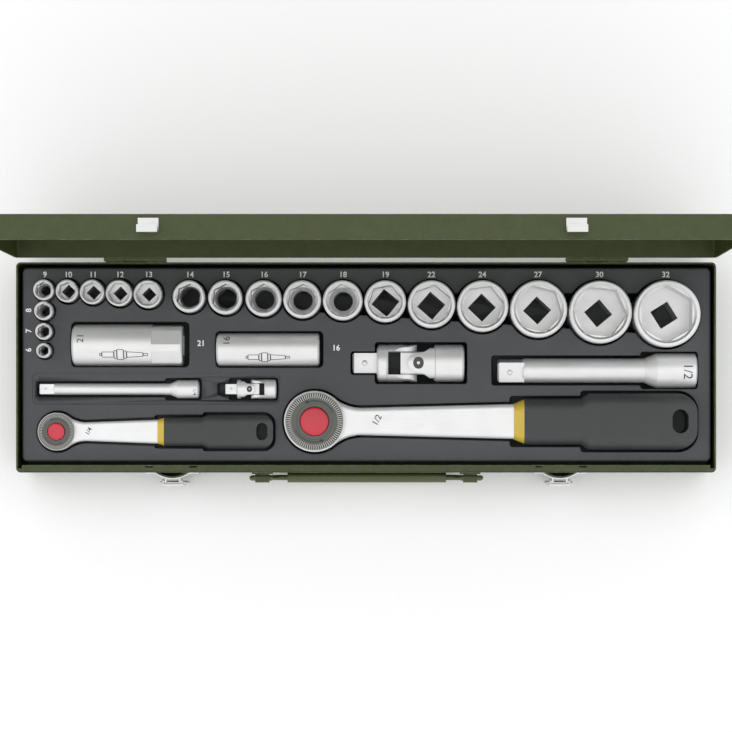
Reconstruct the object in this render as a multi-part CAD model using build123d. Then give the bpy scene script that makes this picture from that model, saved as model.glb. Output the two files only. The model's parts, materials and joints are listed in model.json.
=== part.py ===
from build123d import *
import os
from math import sqrt

# Socket wrench set in a folded sheet-steel case, standing open.
# Millimetres. Origin: centre of the base's underside. +X right, +Y back, +Z up.

# ---------------------------------------------------------------- driving dimensions
CASE_W = 446.0            # case outside, left to right
CASE_D = 134.0            # case outside, front to back
BASE_H = 42.0             # height of the base tray's wall
LID_H = 15.0              # depth of the lid
SHEET = 1.0               # steel sheet of the case
CORNER_R = 3.0            # upright corners of the case
SEAM = 0.4                # gap between the closed lid and the base
FRONT = -CASE_D / 2
BACK = CASE_D / 2

HINGE_X = 147.0           # the two hinges, left and right of the middle
HINGE_Y = BACK + 2.4      # hinge axis, behind the back wall
HINGE_Z = BASE_H + SEAM / 2
KNUCKLE_R = 2.2
PIN_R = 1.0
FIT = 0.05                # radial running clearance of a pin in its hole
LEAF_W = 38.0

LATCH_X = 124.0
LEVER_Y = FRONT - 5.9     # lever pivot
LEVER_Z = 32.0
BAIL_Y = FRONT - 6.6      # loop pivot, on the lever
BAIL_Z = 26.0
BAIL_REACH = 22.5         # loop pivot to its cross bar
LATCH_WIRE_R = 0.8

HANDLE_Y = FRONT - 3.6    # carrying handle's axis
HANDLE_Z = 34.0
HANDLE_DROP = 25.0
HANDLE_WIRE_R = 1.75
GRIP_LEN = 103.0

TRAY_W, TRAY_D, TRAY_R = 440.0, 124.0, 3.4
TRAY_X, TRAY_Y = 0.2, 1.9
TRAY_TOP = 38.0
TRAY_WALL = 1.2
TRAY_FOOT = SHEET + 0.3
LIE = 0.3                 # air under each tool that lies in the tray

HALF, QUARTER = 12.7, 6.35          # drive squares
TOP_HALF, TOP_QUARTER = 46.9, 44.9  # height of the upright sockets' mouths
ROW_HALF, ROW_QUARTER = 55.2, 55.8  # line along the back of the socket row
ROOM = 1.3                          # air round an upright socket in its pocket

QUARTER_COLUMN = {9: 49.3, 8: 36.0, 7: 22.9, 6: 10.7}   # size: Y of the left-hand column
COLUMN_X = -205.2
QUARTER_ROW = [10, 11, 12, 13]
HALF_ROW = [14, 15, 16, 17, 18, 19, 22, 24, 27, 30, 32]

# how far each socket happens to stand turned in its pocket: a mouth's corner, and a drive square's corner
MOUTH_TURN = {10: 83, 11: 86, 12: 56, 13: 59, 14: 83, 15: 87, 16: 90, 17: 85, 18: 96, 19: 71, 22: 80,
              24: 68, 27: 46, 30: 54, 32: 90}
SQUARE_TURN = {10: 92, 11: 92, 12: 88, 13: 89, 19: 96, 22: 94, 24: 91, 27: 92, 30: 85, 32: 77}


def socket_diameter(size):
    """Outer diameter of a socket from its size across flats."""
    if size <= 13:
        return 1.22 * size + 2.1
    return 1.225 * size + 3.15


def socket_length(size):
    """Overall length of a socket."""
    if size <= 13:
        return 25.0
    if size <= 19:
        return 38.0
    if size <= 24:
        return 40.0
    return 42.0 if size <= 27 else 44.0


def socket_places():
    """Size to (x, y, height of the mouth), packed side by side along the back."""
    places = {}
    for size, y in QUARTER_COLUMN.items():
        places[size] = (COLUMN_X, y, TOP_QUARTER)
    x = -190.3
    for size in QUARTER_ROW:
        radius = socket_diameter(size) / 2
        if size > QUARTER_ROW[0]:
            x += radius + 1.0
        places[size] = (x, ROW_QUARTER - radius, TOP_QUARTER)
        x += radius
    x = -112.6
    for size in HALF_ROW:
        radius = socket_diameter(size) / 2
        if size > HALF_ROW[0]:
            x += radius + (2.2 if size <= 16 else 1.2)
        places[size] = (x, ROW_HALF - radius, TOP_HALF)
        x += radius
    return places


PLACES = socket_places()


class Lying:
    """Heights and places of the tools that lie in the tray."""

    SPARK_21 = (-187.8, 14.5, 29.8)      # left end, axis Y, axis Z
    SPARK_16 = (-95.6, 11.6, 31.5)
    EXT_QUARTER = (-209.0, -13.7, 33.5)
    EXT_HALF = (84.1, -1.7, 29.5)
    UJ_QUARTER = (-90.2, -13.7, 33.5)
    UJ_HALF = (-8.7, 3.0, 29.0)
    RATCHET_QUARTER = (-197.2, -40.9, 36.5)   # head centre, and mid height of the handle
    RATCHET_HALF = (-32.8, -34.4, 35.0)


# ---------------------------------------------------------------- small helpers
def block(x0, x1, y0, y1, z0, z1):
    """A plain block between two corners."""
    return Pos((x0 + x1) / 2, (y0 + y1) / 2, (z0 + z1) / 2) * Box(x1 - x0, y1 - y0, z1 - z0)


def rod(x0, x1, y, z, radius):
    """A round rod along X."""
    return Pos((x0 + x1) / 2, y, z) * Rot(0, 90, 0) * Cylinder(radius, x1 - x0)


def post(x, y, z0, z1, radius):
    """A round post along Z."""
    return Pos(x, y, (z0 + z1) / 2) * Cylinder(radius, z1 - z0)


def prism(sketch, z0, z1):
    """A flat outline in XY raised from z0 to z1."""
    return Pos(0, 0, z0) * extrude(sketch, z1 - z0)


def turned(points):
    """A solid of revolution about Z from (radius, height) points."""
    outline = make_face(Polyline(*[(r, 0, z) for r, z in points], close=True))
    return revolve(outline, Axis.Z, 360)


def along_x(solid, x, y, z):
    """Lay a solid that was built up along Z down along +X, from the point given."""
    return Pos(x, y, z) * Rot(0, 90, 0) * solid


def save(name, *solids):
    """Write one named piece, or one named group of separate solids."""
    shape = solids[0] if len(solids) == 1 else Compound(children=list(solids))
    export_step(shape, f"parts/{name}.step")


# ---------------------------------------------------------------- case
def case_base():
    """Open steel tray with a stepped lip along the front and two cupped latch bosses."""
    outer = prism(RectangleRounded(CASE_W, CASE_D, CORNER_R), 0, BASE_H)
    outer = fillet(outer.faces().sort_by(Axis.Z)[0].edges(), 0.8)
    inner = prism(RectangleRounded(CASE_W - 2 * SHEET, CASE_D - 2 * SHEET, CORNER_R - SHEET), SHEET, 50)
    shell = outer - inner
    half = CASE_W / 2 - SHEET
    ledge = block(-half, half, FRONT + SHEET, FRONT + 2.6, BASE_H - SHEET, BASE_H)
    half -= 3.0
    riser = block(-half, half, FRONT + 1.6, FRONT + 2.6, BASE_H - SHEET, BASE_H + 1.6)
    lip = block(-half, half, FRONT + 1.6, FRONT + 4.8, BASE_H + 0.6, BASE_H + 1.6)
    shell = shell + [ledge, riser, lip]
    boss_r, boss_back = 17.5, 14.0
    for side in (-1, 1):
        x = side * LATCH_X
        centre = Pos(x, FRONT + boss_back, 0)
        outside = Pos(x, FRONT - 10) * Rectangle(40, 20)
        bulge = prism((centre * Circle(boss_r)) & outside, 14, 40)
        hollow = prism((centre * Circle(boss_r - SHEET)) & outside, 15, 41)
        shell = shell + (bulge - hollow)
        for offset in (-14, 14):
            slot = Pos(x + offset, FRONT + 3.7, BASE_H) * Box(5.0, 1.0, 6)
            shell = shell - slot
    return shell


def case_lid_closed():
    """Shallow steel lid in its closed place."""
    low = BASE_H + SEAM
    outer = prism(RectangleRounded(CASE_W, CASE_D, CORNER_R), low, low + LID_H)
    outer = fillet(outer.faces().sort_by(Axis.Z)[-1].edges(), 0.8)
    inner = RectangleRounded(CASE_W - 2 * SHEET, CASE_D - 2 * SHEET, CORNER_R - SHEET)
    return outer - prism(inner, low - 1, low + LID_H - SHEET)


def opened(solid):
    """Turn a lid piece from its closed place to its open rest, a quarter turn back."""
    return Pos(0, HINGE_Y, HINGE_Z) * Rot(-90, 0, 0) * Pos(0, -HINGE_Y, -HINGE_Z) * solid


def hinge_base_leaf(x):
    """Leaf on the base's back wall, two outer knuckles and the stop that holds the open lid."""
    half, mid = LEAF_W / 2, 7.0
    leaf = block(x - half, x + half, BACK, BACK + 1.2, 30, BASE_H - 2.2)
    parts = []
    for side in (-1, 1):
        a, b = sorted((x + side * mid, x + side * half))
        parts.append(block(a, b, BACK, BACK + 1.2, BASE_H - 2.2, HINGE_Z))
        parts.append(rod(a, b, HINGE_Y, HINGE_Z, KNUCKLE_R))
    parts.append(block(x - 5, x + 5, BACK + 1.2, BACK + 8.5, 34, 35.2))
    parts.append(block(x - 5, x + 5, BACK + 7.3, BACK + 8.5, 34, HINGE_Z + 0.9))
    return leaf + parts - rod(x - half, x + half, HINGE_Y, HINGE_Z, PIN_R + FIT)


def hinge_lid_leaf(x):
    """Leaf on the closed lid's back wall with the middle knuckle."""
    half, mid = LEAF_W / 2, 6.7
    leaf = block(x - half, x + half, BACK, BACK + 1.2, HINGE_Z + 2.6, 54)
    web = block(x - mid, x + mid, BACK + 0.3, BACK + 1.2, HINGE_Z, HINGE_Z + 2.6)
    knuckle = rod(x - mid, x + mid, HINGE_Y, HINGE_Z, KNUCKLE_R)
    return leaf + [web, knuckle] - rod(x - half, x + half, HINGE_Y, HINGE_Z, PIN_R + FIT)


def hinge_pin(x):
    """Hinge pin with a flattened head at each end."""
    half = LEAF_W / 2
    pin = rod(x - half - 0.9, x + half + 0.9, HINGE_Y, HINGE_Z, PIN_R)
    for side in (-1, 1):
        a, b = sorted((x + side * (half + 0.1), x + side * (half + 0.9)))
        pin = pin + rod(a, b, HINGE_Y, HINGE_Z, 1.8)
    return pin


# ---------------------------------------------------------------- latches
def latch_plate(x):
    """Strap round the boss, with flat wings and two ears for the lever."""
    centre = Pos(x, FRONT + 14.0)
    outside = Pos(x, FRONT - 10) * Rectangle(60, 20)
    strap = ((centre * Circle(18.4)) - (centre * Circle(17.6))) & outside
    wings = (Pos(x, FRONT - 0.4) * Rectangle(34, 0.8)) - (centre * Circle(17.6))
    plate = prism(strap + wings, 23, 36)
    for side in (-1, 1):
        a, b = sorted((x + side * 4.0, x + side * 5.0))
        ear = rod(a, b, LEVER_Y, LEVER_Z, 1.5) + block(a, b, LEVER_Y, FRONT - 3.4, LEVER_Z - 1.5, LEVER_Z + 1.5)
        plate = plate + ear - rod(a, b, LEVER_Y, LEVER_Z, LATCH_WIRE_R + FIT)
    return plate


def latch_lever(x):
    """Pressed lever hanging from its pivot, with a curled finger lip."""
    front, back = FRONT - 8.4, FRONT - 7.6
    lever = block(x - 6.5, x + 6.5, front, back, 11, LEVER_Z)
    lever = lever + block(x - 6.5, x + 6.5, front - 0.9, back, 10, 11.6)
    for side in (-1, 1):
        a, b = sorted((x + side * 5.5, x + side * 6.5))
        cheek = block(a, b, back, LEVER_Y + 1.2, BAIL_Z - 2, LEVER_Z)
        lever = lever + cheek + rod(a, b, LEVER_Y, LEVER_Z, 1.7)
        lever = lever - rod(a, b, BAIL_Y, BAIL_Z, LATCH_WIRE_R + FIT)
        stub = sorted((x + side * 3.8, x + side * 5.6))
        lever = lever + rod(*stub, LEVER_Y, LEVER_Z, LATCH_WIRE_R)
    return lever


def latch_bail(x):
    """Wire loop hanging from the lever, its ends turned in as pivots."""
    half, low = 8.0, BAIL_Z - BAIL_REACH
    path = FilletPolyline(
        (x - 5.7, BAIL_Y, BAIL_Z),
        (x - half, BAIL_Y, BAIL_Z),
        (x - half, BAIL_Y, low),
        (x + half, BAIL_Y, low),
        (x + half, BAIL_Y, BAIL_Z),
        (x + 5.7, BAIL_Y, BAIL_Z),
        radius=[1.2, 1.8, 1.8, 1.2],
    )
    section = Plane(origin=path @ 0, z_dir=path % 0) * Circle(LATCH_WIRE_R)
    return sweep(section, path)


def latch_keeper(x):
    """Upturned hook on the closed lid's front wall, which the loop pulls down."""
    low = BAIL_Z + BAIL_REACH - 2.3
    plate = block(x - 6, x + 6, FRONT - 0.8, FRONT, low, 55)
    shelf = block(x - 6, x + 6, FRONT - 9.0, FRONT - 0.8, low, low + 1.0)
    lip = block(x - 6, x + 6, FRONT - 9.0, FRONT - 8.2, low, low + 4.3)
    return plate + [shelf, lip]


# ---------------------------------------------------------------- carrying handle
def handle_bracket(side):
    """Plate with a rolled eye for the handle wire."""
    a, b = sorted((side * 62.0, side * 71.0))
    plate = block(a - 2, b + 2, FRONT - 1.0, FRONT, HANDLE_Z - 7, HANDLE_Z + 5)
    eye = rod(a, b, HANDLE_Y, HANDLE_Z, 2.9)
    neck = block(a, b, HANDLE_Y, FRONT - 0.5, HANDLE_Z - 2, HANDLE_Z + 2)
    return plate + [neck, eye] - rod(a - 3, b + 3, HANDLE_Y, HANDLE_Z, HANDLE_WIRE_R + FIT)


def handle_bail():
    """One bent wire: two pivot ends, two slanting legs and the bar inside the grip."""
    low = HANDLE_Z - HANDLE_DROP
    path = FilletPolyline(
        (-60.5, HANDLE_Y, HANDLE_Z),
        (-75.5, HANDLE_Y, HANDLE_Z),
        (-58.0, HANDLE_Y, low),
        (58.0, HANDLE_Y, low),
        (75.5, HANDLE_Y, HANDLE_Z),
        (60.5, HANDLE_Y, HANDLE_Z),
        radius=[2.4, 5.0, 5.0, 2.4],
    )
    section = Plane(origin=path @ 0, z_dir=path % 0) * Circle(HANDLE_WIRE_R)
    return sweep(section, path)


def handle_grip():
    """Folded grip round the wire's long bar, open on the side of the case."""
    low = HANDLE_Z - HANDLE_DROP
    section = Plane.YZ * RectangleRounded(6.4, 10.0, 2.6)
    grip = Pos(-GRIP_LEN / 2, HANDLE_Y, low) * extrude(section, GRIP_LEN)
    return grip - rod(-GRIP_LEN, GRIP_LEN, HANDLE_Y, low, HANDLE_WIRE_R + FIT)


# ---------------------------------------------------------------- moulded tray
def disc(x, y, radius, floor):
    """Round pocket: returns its outline for any growth, with its floor height."""
    return (lambda grow: Pos(x, y) * Circle(radius + grow)), floor


def slab(x0, x1, y, half, floor, radius=2.0):
    """Straight pocket with rounded corners, centred on y."""
    def outline(grow):
        size = (x1 - x0 + 2 * grow, 2 * (half + grow))
        return Pos((x0 + x1) / 2, y) * RectangleRounded(*size, radius + grow)
    return outline, floor


def wedge(x0, half0, x1, half1, y, floor):
    """Tapered pocket under a tool's shank."""
    def outline(grow):
        a, b = half0 + grow, half1 + grow
        points = [(x0, y - a), (x1, y - b), (x1, y + b), (x0, y + a)]
        return make_face(Polyline(*points, close=True))
    return outline, floor


def finger_channel(floor):
    """Finger room that joins the large upright sockets' pockets."""
    def outline(grow):
        left, right = PLACES[17][0] - grow, PLACES[32][0] + grow
        points = [(left, 47.5 + grow), (right, 47.5 + grow), (right, 21.0 - grow), (left, 36.0 - grow)]
        return make_face(Polyline(*points, close=True))
    return outline, floor


def upright_pockets():
    """One round pocket for each upright socket."""
    pockets = []
    for size, (x, y, top) in PLACES.items():
        room = 1.0 if size in QUARTER_COLUMN else ROOM
        pockets.append(disc(x, y, socket_diameter(size) / 2 + room, top - socket_length(size) - LIE))
    return pockets


def lying_pockets():
    """Pockets of the tools that lie flat."""
    pockets = []
    x, y, z = Lying.SPARK_21
    pockets.append(slab(x - 0.7, x + 74.8, y + 0.35, 14.5, z - 13.5 - LIE, 3.0))
    x, y, z = Lying.SPARK_16
    pockets.append(slab(x - 0.7, x + 68.1, y + 0.1, 11.7, z - 10.65 - LIE, 3.0))
    x, y, z = Lying.EXT_QUARTER
    pockets.append(slab(x - 2.0, x + 84.0, y, 5.2, z - 5.0))
    pockets.append(slab(x + 80.0, x + 104.0, y, 7.2, z - 5.85 - LIE))
    x, y, z = Lying.UJ_QUARTER
    pockets.append(slab(x - 5.2, x + 4.0, y, 4.2, z - 5.0))
    pockets.append(slab(x + 2.2, x + 33.9, y, 7.2, z - 6.2 - LIE))
    x, y, z = Lying.EXT_HALF
    pockets.append(slab(x - 4.1, x + 104.0, y, 9.6, z - 9.4))
    pockets.append(slab(x + 91.0, x + 127.9, y, 12.0, z - 11.25 - LIE))
    x, y, z = Lying.UJ_HALF
    pockets.append(slab(x - 1.3, x + 18.0, y, 7.5, z - 9.4))
    pockets.append(slab(x + 14.2, x + 73.2, y, 13.4, z - 12.0 - LIE))
    return pockets


def ratchet_pockets(spec):
    """Head, drive well, shank and grip pockets of one ratchet."""
    x, y, mid = spec.place
    margin = 1.4
    return [
        disc(x, y, spec.ring_r + margin, spec.head_low - LIE),
        disc(x, y, spec.drive * 0.8, spec.drive_low - LIE),
        wedge(x + spec.neck_x, spec.shank_w0 / 2 + margin, x + spec.collar_x0, spec.shank_w1 / 2 + margin, y,
              mid - spec.shank_h / 2 - LIE),
        (lambda grow: Pos(x, y) * neck_outline(spec, margin + grow), mid - spec.shank_h / 2 - LIE),
        slab(x + spec.collar_x0 - 2.5, x + spec.step_x1, y, spec.front_w / 2 + margin,
             mid - spec.rear_h / 2 - LIE, 2.0),
        slab(x + spec.step_x0, x + spec.end_x - spec.end_r, y, spec.rear_w / 2 + margin,
             mid - spec.rear_h / 2 - LIE, 2.0),
        slab(x + spec.step_x1, x + spec.end_x + 1.2, y, spec.rear_w / 2 + margin,
             mid - spec.rear_h / 2 - LIE, spec.end_r),
    ]


def tray_insert():
    """Vacuum-formed tray: a skin with a skirt, and a thin cup round every pocket."""
    place = Pos(TRAY_X, TRAY_Y, 0)
    body = place * prism(RectangleRounded(TRAY_W, TRAY_D, TRAY_R), TRAY_FOOT, TRAY_TOP)
    body = fillet(body.faces().sort_by(Axis.Z)[-1].edges(), 1.6)
    inside = RectangleRounded(TRAY_W - 2 * TRAY_WALL, TRAY_D - 2 * TRAY_WALL, TRAY_R - TRAY_WALL)
    body = body - place * prism(inside, 0, TRAY_TOP - TRAY_WALL)
    pockets = upright_pockets() + lying_pockets() + [finger_channel(22.0)]
    for spec in (RATCHET_HALF, RATCHET_QUARTER):
        pockets += ratchet_pockets(spec)
    cups = []
    cuts = []
    for outline, floor in pockets:
        cups.append(prism(outline(TRAY_WALL), floor - TRAY_WALL, TRAY_TOP - 0.6))
        cuts.append(prism(outline(0), floor, TRAY_TOP + 5))
    panel = Pos(-134.15, -13.4) * RectangleRounded(157.7, 19.6, 3.0)
    cuts.append(prism(panel, TRAY_TOP - 0.5, TRAY_TOP + 5))
    limit = place * prism(RectangleRounded(TRAY_W, TRAY_D, TRAY_R), TRAY_FOOT, TRAY_TOP)
    shell = body + cups
    shell = shell & limit
    return shell - cuts


# ---------------------------------------------------------------- upright sockets
def socket(size):
    """Upright socket: six-point mouth above, square drive below."""
    x, y, top = PLACES[size]
    radius, length = socket_diameter(size) / 2, socket_length(size)
    drive = QUARTER if size <= 13 else HALF
    hex_deep = 10.0 if size <= 13 else 19.0
    across = size + 0.1
    groove = length * 0.42
    body = turned([
        (0, 0), (radius - 0.9, 0), (radius, 0.9), (radius, groove), (radius - 0.45, groove + 0.45),
        (radius - 0.45, groove + 1.25), (radius, groove + 1.7), (radius, length - 0.8),
        (radius - 0.8, length), (0, length),
    ])
    mouth = RegularPolygon(across / sqrt(3), 6, rotation=MOUTH_TURN.get(size, 90))
    wide = across / sqrt(3) + 0.3
    lead = turned([
        (0, length - 1.4), (wide - 1.4, length - 1.4), (wide, length), (wide, length + 1), (0, length + 1),
    ])
    through = size in (6, 7, 8, 9, 14, 15, 16, 17, 18)
    if through:
        hex_deep = 12.0 if size >= 14 else 8.0
        bore = 6.2 if size >= 14 else min(3.1, size * 0.4)
        hollow = turned([
            (0, 0), (bore, 0), (bore, length - hex_deep - 2.5), (across / 2, length - hex_deep + 0.1),
            (0, length - hex_deep + 0.1),
        ])
    else:
        hollow = post(0, 0, 0, length - hex_deep + 0.1, drive * 0.5)
    drive_deep = 9.0 if size <= 13 else 16.0
    if not through:
        drive_deep = length - hex_deep + 0.1
    square = Rot(0, 0, SQUARE_TURN.get(size, 90) - 45) * Rectangle(drive + 0.15, drive + 0.15)
    square = prism(square, 0, drive_deep)
    body = body - [prism(mouth, length - hex_deep, length + 1), lead, hollow, square]
    return Pos(x, y, top - length) * body


# ---------------------------------------------------------------- spark-plug sockets
def spark_socket(place, size, diameter, length, hex_from):
    """Long socket lying down, mouth to the left, square drive at the right."""
    radius = diameter / 2
    body = turned([
        (0, 0), (radius - 1.2, 0), (radius, 1.2), (radius, length - 1.0), (radius - 1.0, length), (0, length),
    ])
    if hex_from:
        flats = RegularPolygon(25.3 / sqrt(3), 6, rotation=9)
        keep = prism(flats, hex_from, length + 1) + post(0, 0, -1, hex_from, radius + 1)
        keep = chamfer(keep.faces().sort_by(Axis.Z)[-1].edges(), 1.5)
        body = body & keep
    mouth = prism(RegularPolygon(size / sqrt(3), 6, rotation=30), -1, 22)
    bore = post(0, 0, 21, length - 18, size / 2 - 0.6)
    square = prism(Rectangle(HALF + 0.15, HALF + 0.15), length - 18.1, length + 1)
    return along_x(body - [mouth, bore, square], *place)


def spark_insert(place, size):
    """Rubber sleeve that grips the plug, inside the bore."""
    outer, inner = size / 2 - 0.7, size / 2 - 4.2
    sleeve = post(0, 0, 24, 34, outer) - post(0, 0, 23, 35, inner)
    return along_x(sleeve, *place)


# ---------------------------------------------------------------- extensions
def extension(place, drive, length, tip, shaft_r, taper, end_r, turn):
    """Extension bar: square tip with a ball, round shaft, flared female end."""
    body = turned([
        (0, tip), (shaft_r - 1.0, tip), (shaft_r, tip + 1.5), (shaft_r, taper[0]), (end_r, taper[1]),
        (end_r, length - 0.8), (end_r - 0.8, length), (0, length),
    ])
    square = prism(Rot(0, 0, turn) * Rectangle(drive, drive), 0, tip + 1.5)
    square = chamfer(square.faces().sort_by(Axis.Z)[0].edges(), drive * 0.08)
    ball = Rot(0, 0, turn) * Pos(-drive * 0.42, 0, tip * 0.5) * Sphere(drive * 0.17)
    female = prism(Rectangle(drive + 0.15, drive + 0.15), length - tip - 1, length + 1)
    return along_x(body + [square, ball] - female, *place)


# ---------------------------------------------------------------- universal joints
class JointSpec:
    """Sizes of one universal joint, measured from its left end."""

    def __init__(self, place, drive, radius, tip, yoke, pin_a, pin_b, flare, length, upright):
        self.place = place
        self.driver_turn = 90 if upright else 0
        self.drive = drive
        self.radius = radius
        self.tip = tip
        self.yoke = yoke
        self.pin_a = pin_a
        self.pin_b = pin_b
        self.flare = flare
        self.length = length
        self.ear_r = radius * 0.54
        self.arm_in = radius * 0.62
        self.pin_r = radius * 0.26


UJ_HALF = JointSpec(Lying.UJ_HALF, HALF, 12.0, 15.5, 22.7, 34.7, 42.1, 52.0, 71.3, upright=False)
UJ_QUARTER = JointSpec(Lying.UJ_QUARTER, QUARTER, 6.2, 7.6, 10.2, 15.7, 19.7, 25.2, 32.6, upright=True)


def uj_barrel(spec, start, end):
    """A round length of the joint's body with eased ends, built along Z."""
    r, ease = spec.radius, spec.radius * 0.1
    return turned([(0, start), (r - ease, start), (r, start + ease), (r, end - ease), (r - ease, end), (0, end)])


def uj_fork(spec, pin, root, toward):
    """Two arms from the barrel to the pin, one each side in Y, flared where they leave the barrel."""
    r, ear = spec.radius, spec.ear_r
    reach = pin + toward * ear
    low, high = sorted((root, reach))
    arms = post(0, 0, low, high, r)
    rounded = Pos(0, 0, pin) * Rot(90, 0, 0) * Cylinder(ear, 2 * r)
    square_part = Pos(0, 0, (root + pin) / 2) * Box(2 * r, 2 * r, abs(pin - root))
    arms = arms & (rounded + square_part)
    hollow_r = abs(pin - root) - 0.4
    for side in (-1, 1):
        arms = arms - Pos(side * (ear + hollow_r), 0, pin) * Rot(90, 0, 0) * Cylinder(hollow_r, 2 * r + 2)
    gap_low, gap_high = sorted((root, reach + toward))
    gap = Pos(0, 0, (gap_low + gap_high) / 2) * Box(2 * r + 2, 2 * spec.arm_in, gap_high - gap_low)
    hole = Pos(0, 0, pin) * Rot(90, 0, 0) * Cylinder(spec.pin_r + FIT, 2 * r + 2)
    return arms - gap - hole


def ujoint_driver(spec):
    """Square tip with its ball, a collar and the driving fork."""
    square = prism(Rectangle(spec.drive, spec.drive), 0, spec.tip + 1)
    square = chamfer(square.faces().sort_by(Axis.Z)[0].edges(), spec.drive * 0.08)
    ball = Pos(-spec.drive * 0.42, 0, spec.tip * 0.5) * Sphere(spec.drive * 0.17)
    fork = Rot(0, 0, spec.driver_turn) * uj_fork(spec, spec.pin_a, spec.yoke - 0.5, 1)
    return along_x(square + [ball, uj_barrel(spec, spec.tip, spec.yoke), fork], *spec.place)


def ujoint_cross(spec):
    """Block between the forks with a pin each way."""
    half = spec.arm_in - 0.35
    margin = spec.ear_r * 0.62
    block_len = spec.pin_b - spec.pin_a + 2 * margin
    core = Pos(0, 0, (spec.pin_a + spec.pin_b) / 2) * Box(2 * half, 2 * half, block_len)
    core = chamfer(core.edges().filter_by(Axis.Z), half * 0.12)
    reach = 2 * (spec.radius - 0.4)
    pin_a = Pos(0, 0, spec.pin_a) * Rot(90, 0, 0) * Cylinder(spec.pin_r, reach)
    pin_b = Pos(0, 0, spec.pin_b) * Rot(0, 90, 0) * Cylinder(spec.pin_r, reach)
    return along_x(Rot(0, 0, spec.driver_turn) * (core + [pin_a, pin_b]), *spec.place)


def ujoint_socket(spec):
    """Female end with the driven fork, a quarter turn from the driving one."""
    body = uj_barrel(spec, spec.flare, spec.length)
    body = body + Rot(0, 0, spec.driver_turn + 90) * uj_fork(spec, spec.pin_b, spec.flare + 0.5, -1)
    deep = spec.length - spec.flare - spec.radius * 0.15
    square = prism(Rectangle(spec.drive + 0.15, spec.drive + 0.15), spec.length - deep, spec.length + 1)
    return along_x(body - square, *spec.place)


# ---------------------------------------------------------------- ratchets
class RatchetSpec:
    """Sizes of one ratchet, its X measured from the head's centre."""

    def __init__(self, place, drive, ring_r, head_low, head_high, drive_low, shank_w0, shank_w1, shank_h,
                 collar_x0, collar_x1, collar_w, front_w, step_x0, step_x1, rear_w, rear_h, end_x, end_r,
                 hole_x, hole_size, button_r):
        self.place = place
        self.drive = drive
        self.ring_r = ring_r
        self.head_low = head_low
        self.head_high = head_high
        self.drive_low = drive_low
        self.shank_w0 = shank_w0
        self.shank_w1 = shank_w1
        self.shank_h = shank_h
        self.collar_x0 = collar_x0
        self.collar_x1 = collar_x1
        self.collar_w = collar_w
        self.front_w = front_w
        self.step_x0 = step_x0
        self.step_x1 = step_x1
        self.rear_w = rear_w
        self.rear_h = rear_h
        self.end_x = end_x
        self.end_r = end_r
        self.hole_x = hole_x
        self.hole_size = hole_size
        self.button_r = button_r
        self.neck_x = ring_r * 1.55
        self.neck_r = (self.neck_x ** 2 - ring_r ** 2 + shank_w0 ** 2 / 4) / (2 * ring_r - shank_w0)
        self.dial_r = ring_r * 0.938
        self.cavity_r = ring_r * 0.835
        self.gear_r = ring_r * 0.62
        self.journal_r = drive * 0.76
        self.stem_r = drive * 0.2
        self.web = ring_r * 0.2
        self.dial_seat = head_high - ring_r * 0.085
        self.tang_w = shank_w0 * 0.66
        self.tang_h = shank_h * 0.6
        self.tang_x = collar_x1 + 20.0


RATCHET_HALF = RatchetSpec(
    place=Lying.RATCHET_HALF, drive=HALF, ring_r=19.4, head_low=25.0, head_high=45.0, drive_low=9.2,
    shank_w0=17.5, shank_w1=22.3, shank_h=13.0, collar_x0=127.0, collar_x1=133.6, collar_w=(23.0, 28.4),
    front_w=29.6, step_x0=169.8, step_x1=174.8, rear_w=36.3, rear_h=21.0, end_x=243.6, end_r=13.0,
    hole_x=232.8, hole_size=(10.3, 15.2), button_r=9.1)
RATCHET_QUARTER = RatchetSpec(
    place=Lying.RATCHET_QUARTER, drive=QUARTER, ring_r=12.0, head_low=30.0, head_high=42.8, drive_low=22.0,
    shank_w0=12.0, shank_w1=15.3, shank_h=8.4, collar_x0=64.2, collar_x1=68.4, collar_w=(15.8, 17.8),
    front_w=18.4, step_x0=92.7, step_x1=96.5, rear_w=21.8, rear_h=13.6, end_x=137.9, end_r=7.5,
    hole_x=130.9, hole_size=(7.0, 11.1), button_r=5.4)


def neck_outline(spec, grow):
    """Plan of the flared neck between the round head and the shank, for any growth."""
    centre_y = spec.shank_w0 / 2 + spec.neck_r
    share = spec.ring_r / (spec.ring_r + spec.neck_r)
    touch = (spec.neck_x * share, centre_y * share)
    points = [touch, (spec.neck_x, centre_y), (spec.neck_x, -centre_y), (touch[0], -touch[1])]
    outline = make_face(Polyline(*points, close=True))
    for side in (-1, 1):
        outline = outline - Pos(spec.neck_x, side * centre_y) * Circle(spec.neck_r - grow)
    return outline


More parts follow.
